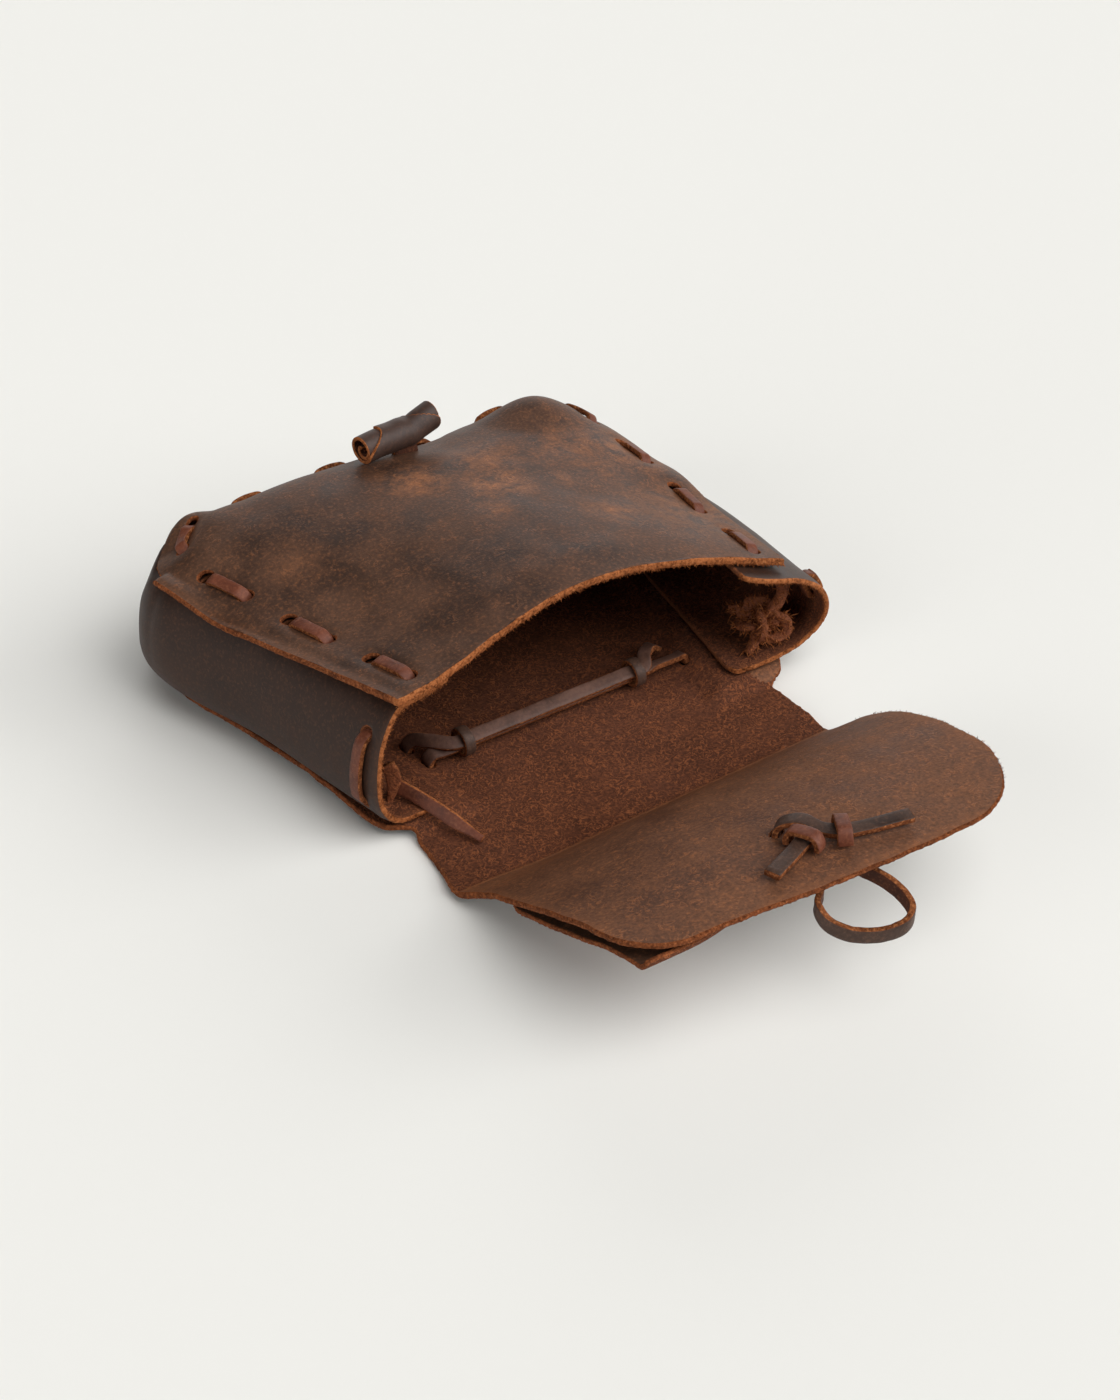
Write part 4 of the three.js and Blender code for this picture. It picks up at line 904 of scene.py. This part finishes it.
flapFringe = {
    "share": lambda across, along: 0.8 * (along < -4), "each": 2, "side": 1,
    "long": 0.9, "thick": 0.24,
}
points, groups, wearAndLight = cutHide(
    backSheet, (-97, -107), (100, 172), backCut["cell"], insideBack, backThick,
    faceOf=backFace, wearAndLightOf=backWearAndPaintedLight, fringe=flapFringe)
backFinishes = [suedeFinish, gussetFinish, flapCutFinish, flapFinish]
newPiece("back_hide", points, groups, backFinishes, wearAndLight, "suede", ["back_panel"])


# Gusset

gussetCut = {"cell": 1.0, "start": 2.5, "thick": 1.8, "sideHoleLong": 4.8, "sideHoleWide": 4.5, "wave": 0.2}
rightEnd = readTable("section past", [  # how far its right end reaches past the mouth
    (0, 6.5), (10, 8), (20, 7.5), (30, 4.5), (40, 0.8), (60, -1.8), (84, -3), (102, -4),
])["past"]
sideStitches = {
    "left": {"place": 10.0, "high": 0.27, "low": 0.755, "arch": 0.3},
    "right": {"place": seamLong - 10.0, "high": 0.3, "low": 0.46, "arch": 0.0},
}


def wallSection(place, share):
    # the section value a share of the way down the wall's own length
    section = gussetRuns["top"] + gussetRuns["wall"] * np.linspace(0, 1, 201)
    line = gussetAt(np.full(201, place), section)
    run = np.concatenate([[0], np.cumsum(np.linalg.norm(np.diff(line, axis=0), axis=1))])
    return np.interp(np.asarray(share) * run[-1], run, section), run[-1]


def gussetHoles():
    holes = []
    top, wall, bottom = (gussetRuns[name] for name in ("top", "wall", "bottom"))
    size = (lacing["holeLong"] + 0.4, lacing["holeWide"] + 0.4, lacing["holeCorner"])
    for places, inset, side in (
        (holePlaces["frontMiddles"], frontInset, "top"), (holePlaces["backMiddles"], backInset, "bottom"),
    ):
        for place in places:
            leaves, lands, reach = (float(wallTable[name](place)) for name in ("leaves", "lands", "reach"))
            if side == "top":
                section = top * (pattern["topFlange"] - float(inset(place))) / (pattern["topFlange"] - leaves)
            else:
                section = top + wall + bottom * (float(inset(place)) - lands) / (reach - lands)
            holes.append(slotAway(gussetAt, (place, section), (1, 0), *size))
    for stitch in sideStitches.values():
        for share in (stitch["high"], stitch["low"]):
            section, _ = wallSection(stitch["place"], share)
            size = (gussetCut["sideHoleLong"], gussetCut["sideHoleWide"], 2.2)
            holes.append(slotAway(gussetAt, (stitch["place"], float(section)), (0, 1), *size))
    return holes


punched = gussetHoles()


def insideGusset(place, section):
    ends = np.minimum(place - gussetCut["start"], seamLong + rightEnd(section) - place)
    away = np.minimum(roundCorner(ends, section, 2.0), roundCorner(ends, gussetLong - section, 7))
    away = away + gussetCut["wave"] * drift(place, section, 7, 7)
    for hole in punched:
        away = np.minimum(away, hole(place, section))
    return away


def gussetWear(place, section):
    ends = np.minimum(place - gussetCut["start"], seamLong + rightEnd(section) - place)
    return 0.4 * (1 - smoothStep(ends, 0, 3))


def gussetRim(place, section):
    # orange at the two ends, dark suede along the flanges
    return np.where(np.minimum(place - gussetCut["start"], seamLong + rightEnd(section) - place) < 3, 2, 1)


gussetFringe = {
    "share": lambda place, section: 0.9 * (gussetRim(place, section) == 2),
    "each": 3, "side": -1, "long": 1.1, "thick": 0.28,
}
points, groups, wearAndLight = cutHide(
    gussetSheet, (2, -2), (seamLong + 12, gussetLong + 2), gussetCut["cell"],
    insideGusset, gussetCut["thick"],
    rimOf=gussetRim, wearAndLightOf=gussetWear, fringe=gussetFringe)
gussetFinishes = [gussetFinish, suedeFinish, cutFinish]
newPiece("gusset_hide", points, groups, gussetFinishes, wearAndLight, "gusset_leather", ["gusset"])


# Second layer under the left of the flap

underlay = {"left": -68.0, "slant": 1.6, "right": -14.0, "long": 79.0, "thick": 1.6, "cell": 0.8}
underlayTable = readTable("along place drop", [
    (0, -18, 0.4), (14, -32, 2.4), (30, -48, 4.4), (46, -64, 5.0), (62, -80, 3.8), (74, -95, 3.3),
    (76, -97.4, 3.0), (77.8, -99, 1.8), (79, -99.3, 0.4),
])


def underlayAt(x, along):
    # it hangs below the flap by the drop of its table and turns up to it at the front
    place = underlayTable["place"](along) + 7 * smoothStep(x, -52, -14) * smoothStep(along, 55, 79)
    point, normal = onSurface(backAt, x / backHalf(place) * pattern["half"], place)
    drop = (hide["thick"] + underlay["thick"]) / 2 + hide["gap"] + underlayTable["drop"](along)
    return point - normal * drop[..., None]


def insideUnderlay(x, along):
    left = underlay["left"] + underlay["slant"] * np.clip(along / underlay["long"], 0, 1)
    sides = np.minimum(x - left, underlay["right"] - x)
    return np.minimum(roundCorner(sides, along, 13), roundCorner(sides, underlay["long"] - along, 2))


points, groups, wearAndLight = cutHide(
    underlayAt, (underlay["left"] - 2, -2), (underlay["right"] + 2, underlay["long"] + 2), underlay["cell"],
    insideUnderlay, underlay["thick"], rounding=0.4)
underlayFinishes = [suedeFinish, panelFinish, flapCutFinish]
newPiece("underlay_hide", points, groups, underlayFinishes, wearAndLight, "suede", ["flap_underlay"])


# Upright stitch in each side

def sideStitch(stitch):
    # down the outside of the wall between two holes, its ends turned back along the inside
    _, wallLong = wallSection(stitch["place"], 1.0)
    inward = -(hide["thick"] / 2 + lacing["thick"] / 2 + 0.25)
    outer = hide["shown"] / 2 + lacing["thick"] / 2
    ends = [
        (8, inward - 0.2), (4, inward - 0.3), (1.6, inward - 0.1),
        (0.2, -0.6), (0.8, outer - 1.1), (2.8, outer + 0.05),
    ]
    down = [(stitch["high"] + run / wallLong, height) for run, height in ends]
    between = np.linspace(0.2, 0.8, 5)
    arch = stitch["arch"] * 4 * between * (1 - between)
    down += [(blendTo(stitch["high"], stitch["low"], t), outer + 0.1 + h) for t, h in zip(between, arch)]
    down += [(stitch["low"] - run / wallLong, height) for run, height in ends[::-1]]
    section, _ = wallSection(stitch["place"], [share for share, _ in down])
    place = np.full(len(down), stitch["place"])
    point, normal = onSurface(gussetAt, place, section)
    side = unit(gussetAt(place - 0.5, section) - gussetAt(place + 0.5, section))
    steps = 6 * (len(down) - 1)
    path = smoothRoute(point + normal * np.array([height for _, height in down])[:, None], steps)
    return carryLace(path, smoothRoute(side, steps), 4.2, 1.8)


def freeLace(rows, wide, thick, taper=None, grain=0, cut=1, rough=0.05):
    # a loose lace through rows of a point and the way it is wide
    rows = np.array(rows, float)
    steps = 8 * (len(rows) - 1)
    path, side = smoothRoute(rows[:, :3], steps), smoothRoute(rows[:, 3:], steps)
    return carryLace(path, side, wide, thick, taper, rough=rough, grain=grain, cut=cut)


leftTail = [
    (-67.4, -44.4, 12.6, 0.5, -0.1, 0.83), (-63.4, -52.6, 10.8, 0.5, -0.1, 0.83),
    (-59.8, -60.6, 8.6, 0.5, -0.05, 0.83), (-56.6, -67.4, 6.2, 0.6, 0, 0.75),
    (-53.7, -73.4, 4.4, 0.68, 0.1, 0.68),
]
leftFold = [
    (-69.6, -44.4, 21.5, 0.83, -0.56, 0), (-68.2, -45.4, 17, 0.83, -0.56, 0),
    (-69, -45.8, 11.5, 0.83, -0.56, 0), (-70.6, -45.6, 6.2, 0.83, -0.56, 0),
]
leftShapes = [
    sideStitch(sideStitches["left"]),
    freeLace(leftTail, 4.6, 1.6, lambda t: 1 - 0.5 * smoothStep(t, 0.55, 0.98), cut=3),
    freeLace(leftFold, 4.8, 1.4, lambda t: 1 - 0.7 * smoothStep(t, 0.35, 1), grain=2, rough=0.12),
]
leftFinishes = [laceFinish, laceCutFinish, knotFinish, cutFinish]
newPiece("left_side_lace", *joinShapes(leftShapes), leftFinishes, slot="lace", stands=["gusset_lace_left"])
newPiece(
    "right_side_lace", *sideStitch(sideStitches["right"]), [laceFinish, laceCutFinish], slot="lace",
    stands=["gusset_lace_right"])


# Doubled strap on the inside of the back

strap = {
    "wide": 4.6, "thick": 1.9, "keeperOuter": 4.9, "keeperThick": 1.3, "keeperWide": 3.8,
    "keeperLeft": -35.4, "keeperRight": 30.8, "leftY": -33.6, "rightY": -34.8, "play": 3.5, "stack": 1.225,
    "lean": 28, "twist": 46,  # of its faces to the mouth, and back past the right keeper, in degrees
}
bareEnd = [(37.6, -31.4, 10.4), (42.0, -28.2, 9.6), (46.6, -25.4, 5.6)]  # the upper lace past a keeper
keeperZ = hide["thick"] + hide["gap"] + strap["keeperOuter"]


def strapY(x):
    return np.interp(x, [strap["keeperLeft"], strap["keeperRight"]], [strap["leftY"], strap["rightY"]])


def strapLace(name, node, left, right, side):
    # straight through both keepers, and at each end an arch down into its hole;
    # the upper one is bare at the right
    lean = math.radians(strap["lean"])
    z = keeperZ + side * strap["stack"] * math.cos(lean)
    aside = -side * strap["stack"] * math.sin(lean)

    def end(hole, inward):
        over = float(onSheet(*hole, hide["thick"] / 2)[2])
        y = strapY(hole[0]) + aside
        return [
            tuple(onSheet(*hole, -hide["thick"] / 2 + 0.2)), tuple(onSheet(*hole, hide["thick"] / 2 + 0.6)),
            (hole[0] + 1.6 * inward, blendTo(hole[1], y, 0.15), blendTo(over, z, 0.62) + 0.3),
            (hole[0] + 4.4 * inward, blendTo(hole[1], y, 0.55), z + 0.3 * side - 0.5),
        ]
    stations = [strap["keeperLeft"] - strap["play"], strap["keeperLeft"] + strap["play"], 0,
                strap["keeperRight"] - strap["play"], strap["keeperRight"] + strap["play"]]
    knots = end(left, 1) + [(x, strapY(x) + aside, z) for x in stations]
    knots += end(right, -1)[::-1] if right else bareEnd
    path = smoothRoute(knots, 120)
    past = path[:, 0] - strap["keeperRight"]
    turn = lean - math.radians(strap["twist"]) * smoothStep(past, 2, 10)
    across = np.stack([0 * turn, np.cos(turn), np.sin(turn)], 1)
    points, groups = carryLace(path, across, strap["wide"], strap["thick"])
    piece = newPiece(name, points, groups, [strapFinish, laceCutFinish], slot="dark_lace", stands=[node])
    return piece, path


for name, node, left, right, side, far in (
    ("upper_strap", "strap_lace_upper", strapHoles["upperLeft"], None, 1, "bare"),
    ("lower_strap", "strap_lace_lower", strapHoles["lowerLeft"], strapHoles["lowerRight"], -1, "object"),
):
    piece, path = strapLace(name, node, left, right, side)
    long = float(np.linalg.norm(np.diff(path, axis=0), axis=1).sum())


def keeper(name, node, x):
    # a band closed to a ring round the doubled lace
    turn = np.linspace(0, 2 * math.pi, 48, endpoint=False)
    radius = strap["keeperOuter"] - strap["keeperThick"] / 2
    path = np.stack([np.full(48, x), strapY(x) + radius * np.cos(turn), keeperZ + radius * np.sin(turn)], 1)
    across = np.broadcast_to([1.0, 0, 0], path.shape)
    points, groups = carryLace(path, across, strap["keeperWide"], strap["keeperThick"], closed=True)
    newPiece(name, points, groups, [darkLaceFinish, laceCutFinish], slot="dark_lace", stands=[node])


keeper("left_keeper", "keeper_left", strap["keeperLeft"])
keeper("right_keeper", "keeper_right", strap["keeperRight"])


# Toggle

roll = {
    "thick": 1.25, "turns": 2.2, "endTurn": 55, "cell": 0.5,
    "leftCut": 8.0, "rightCut": 10.0, "flare": 0.03,
}
rollRadii = readTable("wound radius", [
    (0, 0.55), (0.3, 0.9), (0.5, 1.8), (0.75, 3.5), (1.2, 4.0), (1.5, 4.5), (2.2, 4.75),
])["radius"]
rollBend = readTable("share up", [  # its axis from the left end to the right
    (0, 0), (0.25, -0.1), (0.42, -0.75), (0.55, -0.9), (0.667, -1.35), (0.8, -0.3), (1, 0.95),
])["up"]
rollTurn = np.linspace(0, roll["turns"] * 2 * math.pi, 800)
rollRadius = rollRadii(rollTurn / (2 * math.pi))
rollRun = np.concatenate([[0], np.cumsum(np.hypot(np.diff(rollRadius), np.diff(rollTurn) * rollRadius[1:]))])
toggleWay = unit(toggleAt["right"] - toggleAt["left"])
toggleLong = float(np.linalg.norm(toggleAt["right"] - toggleAt["left"]))
rollSide = unit(np.cross([0.0, 0, 1], toggleWay))
rollUp = np.cross(toggleWay, rollSide)


def rollAt(run, axial):
    # a strip wound on itself from a loose curl outwards; it ends near the top and flares at its right end
    past = rollTurn[-1] - np.interp(run, rollRun, rollTurn)
    turn = math.radians(roll["endTurn"]) + past
    flare = 1 + roll["flare"] * (1 - smoothStep(axial, 0, 0.4 * toggleLong))
    radius = np.interp(run, rollRun, rollRadius) * flare
    middle = toggleAt["right"] - toggleWay * axial[..., None]
    middle = middle + rollUp * rollBend(1 - axial / toggleLong)[..., None]
    aside, up = (radius * np.cos(turn))[..., None], (radius * np.sin(turn))[..., None]
    return middle + rollSide * aside + rollUp * up


def insideRoll(run, axial):
    # the strip's last stretch is cut narrower on both sides
    past = np.degrees(rollTurn[-1] - np.interp(run, rollRun, rollTurn))
    low = roll["rightCut"] * (1 - smoothStep(past, 10, 125))
    high = toggleLong - roll["leftCut"] * (1 - smoothStep(past, 40, 150))
    return np.minimum(np.minimum(run, rollRun[-1] - run), np.minimum(axial - low, high - axial))


points, groups, wearAndLight = cutHide(
    rollAt, (-1, -1), (rollRun[-1] + 1, toggleLong + 1), roll["cell"], insideRoll, roll["thick"],
    rounding=0.3, rough=0.03)
toggleFinishes = [toggleFinish, suedeFinish, cutFinish]
newPiece("toggle_roll", points, groups, toggleFinishes, wearAndLight, "toggle_leather", ["toggle"])


def stubLace():
    # the short lace that carries the toggle, down through a slot of the front panel
    drop = rollRadius[-1] + roll["thick"] / 2 + 0.1
    top = (toggleAt["left"] + toggleAt["right"]) / 2 - np.array([0, 0, drop])
    top = top + toggleWay * 3.0 + rollUp * rollBend(0.6)
    path = smoothRoute([top + [0, 0, 0.8], top - [0, 0.4, 1.2], top - [0, 0.8, 4.6]], 12)
    points, groups = carryLace(path, np.broadcast_to(toggleWay, path.shape), 10.0, 2.0)
    finishes = [laceBackFinish, laceCutFinish]
    newPiece("toggle_stub", points, groups, finishes, slot="dark_lace", stands=["toggle_lace"])


stubLace()


# Closing loop with its tails on the flap and the bands that hold them

closure = {"wide": 4.8, "thick": 1.9, "bandWide": 4.4, "bandThick": 1.7}
rightTail = [  # x, y, height over the flap, the way the lace is wide
    (26, -171.6, 3.0, -0.3, -0.95, 0), (10, -168.1, 2.9, -0.4, -0.91, 0),
    (5.6, -166.4, 3.0, -0.5, -0.86, 0), (1.6, -163.2, 3.9, -0.7, -0.7, 0),
    (-0.9, -159.6, 5.6, -0.8, -0.6, 0), (-3.6, -156.4, 5.2, -0.81, -0.59, 0),
    (-5.5, -154.2, 3.4, -0.81, -0.59, 0), (-6, -153.5, 0.2, -0.81, -0.59, 0),
    (-5.9, -153.7, -2.6, -0.81, -0.5, 0), (-5.6, -157, -5.2, -0.9, -0.2, 0.3),
    (-6.2, -165, -5.8, -0.5, 0, 0.87),
]
loopKnots = [
    (-8, -175.3, 37), (-11, -178, 35), (-11.3, -182, 32.6), (-8.3, -187, 30.8), (-3, -191, 30),
    (2.5, -193.6, 30.4), (7.5, -194.3, 31.5), (10.9, -192.2, 32.8), (11.7, -188, 34.4),
    (10.4, -182.2, 36.2), (8.1, -177.2, 37.2),
]
leftEnd = [
    (5.6, -171.4, -5.8, 0, -0.1, 1), (2.4, -166.4, -5.2, 0.3, -0.5, 0.7),
    (0.2, -162.5, -2.6, 0.41, -0.91, 0), (0, -161.9, 0.2, 0.41, -0.91, 0),
    (-0.8, -162.3, 2.4, 0.41, -0.91, 0), (-4.2, -163.9, 3.0, 0.41, -0.91, 0),
    (-8.6, -166, 2.9, 0.41, -0.91, 0), (-21.9, -172.2, 3.0, 0.41, -0.91, 0),
]


def closureLace():
    tail, end = np.array(rightTail), np.array(leftEnd)
    knots = np.concatenate([onSheet(*tail[:, :3].T), loopKnots, onSheet(*end[:, :3].T)])
    side = np.concatenate([tail[:, 3:], np.tile([0.0, 0, 1], (len(loopKnots), 1)), end[:, 3:]])
    steps = 8 * (len(knots) - 1)
    path, wide = smoothRoute(knots, steps), smoothRoute(side, steps)
    points, groups = carryLace(path, wide, closure["wide"], closure["thick"], back=2)
    piece = newPiece(
        "closing_loop", points, groups, [darkLaceFinish, laceCutFinish, laceBackFinish], slot="dark_lace",
        stands=["closure_lace"])
    long = float(np.linalg.norm(np.diff(path, axis=0), axis=1).sum())


closureLace()
bandRows = [  # reach, height
    (-4.7, 1.75), (-4.7, 3.6), (-3.5, 5.7), (0, 6.1), (3.5, 5.7), (4.7, 3.6), (4.7, 1.75),
]


def knotBand(name, node, x, y, way):
    reach, height = np.array(bandRows).T
    path = smoothRoute(onSheet(x + reach * way[0], y + reach * way[1], height), 48)
    side = np.broadcast_to([-way[1], way[0], 0.0], path.shape)
    points, groups = carryLace(path, side, closure["bandWide"], closure["bandThick"])
    newPiece(name, points, groups, [laceFinish, laceCutFinish], slot="lace", stands=[node])


knotBand("left_knot_band", "knot_band_left", -5.1, -164.4, (-0.41, 0.91))
knotBand("right_knot_band", "knot_band_right", 6.1, -166.9, (0.5, 0.87))


# Knotted, frayed lace ends inside the right side

knot = {
    "centre": np.array([73.6, -45.8, 18.8]), "size": 6.4, "wide": 4.2, "thick": 2.2,
    "tilt": -0.9, "fibres": 1000,
}
knotEnds = [  # rows of a point and the way the lace is wide
    [(80, -50, 34, 0.9, -0.4, 0), (79, -51, 29, 0.9, -0.4, 0), (75, -48.6, 22, 0.9, -0.3, 0.2)],
    [(72.6, -47.6, 16, 0.5, -0.8, 0.3), (70.4, -48.8, 12.6, 0, -0.9, 0.4), (67.8, -48.8, 9, -0.5, -0.8, 0.2)],
    [(71.6, -44.2, 20, 0.3, -0.4, 0.9), (69.8, -41, 21, 0.3, -0.2, 0.9), (68.2, -37.6, 20.6, 0.3, -0.3, 0.9)],
    [(74.6, -46.8, 22, 0.6, -0.6, 0.5), (80.2, -51, 19.6, 0.5, -0.8, 0), (81.2, -52.2, 14.6, 0.5, -0.8, -0.2),
     (77, -50.6, 12.4, 0.2, -0.9, -0.3), (72.6, -47.8, 14.6, 0.2, -0.9, 0)],
]


def lacedKnot():
    # a (2, 3) knot: a ring wound twice round an axis and three times round itself;
    # with four loose laces and fibres
    turn = np.linspace(0, 4 * math.pi, 160, endpoint=False)
    swell = 1 + 0.5 * np.cos(1.5 * turn)
    flat = np.stack([swell * np.cos(turn), swell * np.sin(turn), 0.9 * np.sin(1.5 * turn)], 1)
    flat = flat * knot["size"] * 0.6
    c, s = math.cos(knot["tilt"]), math.sin(knot["tilt"])
    path = flat @ np.array([[c, 0, -s], [0, 1, 0], [s, 0, c]]) + knot["centre"]
    side = unit(path - knot["centre"])
    shapes = [carryLace(path, side, knot["wide"], knot["thick"], closed=True, rough=0.35)]
    for rows in knotEnds:
        shapes.append(freeLace(rows, knot["wide"], knot["thick"], lambda t: 1 - 0.3 * t, rough=0.25))
    points, groups = joinShapes(shapes)
    roots = points[chance.integers(0, len(points), knot["fibres"])]
    ways = unit(roots - knot["centre"]) + np.array([-0.2, -0.3, 0])
    points, groups = joinShapes([(points, groups), strands(roots, ways, 3.0, 0.5, 0.9)])
    finishes = [knotFinish, knotFinish, cutFinish]
    newPiece("frayed_knot", points, groups, finishes, slot="lace", stands=["lace_knot"])


lacedKnot()


# Floor and light

studio = {
    "floor": tint(238, 237, 232), "sky": (1.0, 0.995, 0.975), "skyStrength": 0.02,
    "backdrop": tint(240, 239, 234),
}
windows = [  # name, turn from the camera's right, height, spread, strength; angles in degrees
    ("high_window", -45, 65, 50, 1.35), ("right_window", -20, 40, 55, 1.6), ("side_window", 0, 15, 50, 1.38),
    ("front_window", -135, 15, 50, 1.15), ("back_window", 88, 15, 50, 0.92),
]


def studioStage():
    size, steps = 24.0, 9
    x, y = np.meshgrid(np.linspace(-size, size, steps), np.linspace(-size, size, steps), indexing="ij")
    number = np.arange(steps * steps).reshape(steps, steps)
    quads = np.stack([number[:-1, :-1], number[1:, :-1], number[1:, 1:], number[:-1, 1:]], -1).reshape(-1, 4)
    mesh = bpy.data.meshes.new("studio_floor")
    points = np.stack([x, y, np.full_like(x, -0.0002)], -1).reshape(-1, 3)
    mesh.from_pydata(points.tolist(), [], quads.tolist())
    floor = bpy.data.objects.new("studio_floor", mesh)
    bpy.context.scene.collection.objects.link(floor)
    material = bpy.data.materials.new("pale_floor")
    material.use_nodes = True
    shader = material.node_tree.nodes["Principled BSDF"]
    shader.inputs["Base Color"].default_value = studio["floor"]
    shader.inputs["Roughness"].default_value = 0.9
    shader.inputs["Specular IOR Level"].default_value = 0.1
    mesh.materials.append(material)
    world = bpy.data.worlds.new("studio")
    world.use_nodes = True
    nodes, links = world.node_tree.nodes, world.node_tree.links
    sky = nodes["Background"]
    sky.inputs["Color"].default_value = (*studio["sky"], 1)
    sky.inputs["Strength"].default_value = studio["skyStrength"]
    backdrop = nodes.new("ShaderNodeBackground")  # past the floor's edge
    choice = nodes.new("ShaderNodeMixShader")
    backdrop.inputs["Color"].default_value = studio["backdrop"]
    links.new(nodes.new("ShaderNodeLightPath").outputs["Is Camera Ray"], choice.inputs[0])
    links.new(sky.outputs[0], choice.inputs[1])
    links.new(backdrop.outputs[0], choice.inputs[2])
    links.new(choice.outputs[0], nodes["World Output"].inputs["Surface"])
    bpy.context.scene.world = world
    for name, turn, rise, spread, strength in windows:
        sun = bpy.data.lights.new(name, "SUN")
        sun.energy = strength
        sun.angle = math.radians(spread)
        turn, rise = math.radians(turn + viewpoint["azimuth"]), math.radians(rise)
        lamp = bpy.data.objects.new(name, sun)
        way = Vector((math.cos(turn) * math.cos(rise), math.sin(turn) * math.cos(rise), math.sin(rise)))
        lamp.rotation_euler = way.to_track_quat("Z", "Y").to_euler()
        bpy.context.scene.collection.objects.link(lamp)
    bpy.context.scene.view_settings.view_transform = "Standard"


studioStage()
print("studio set")
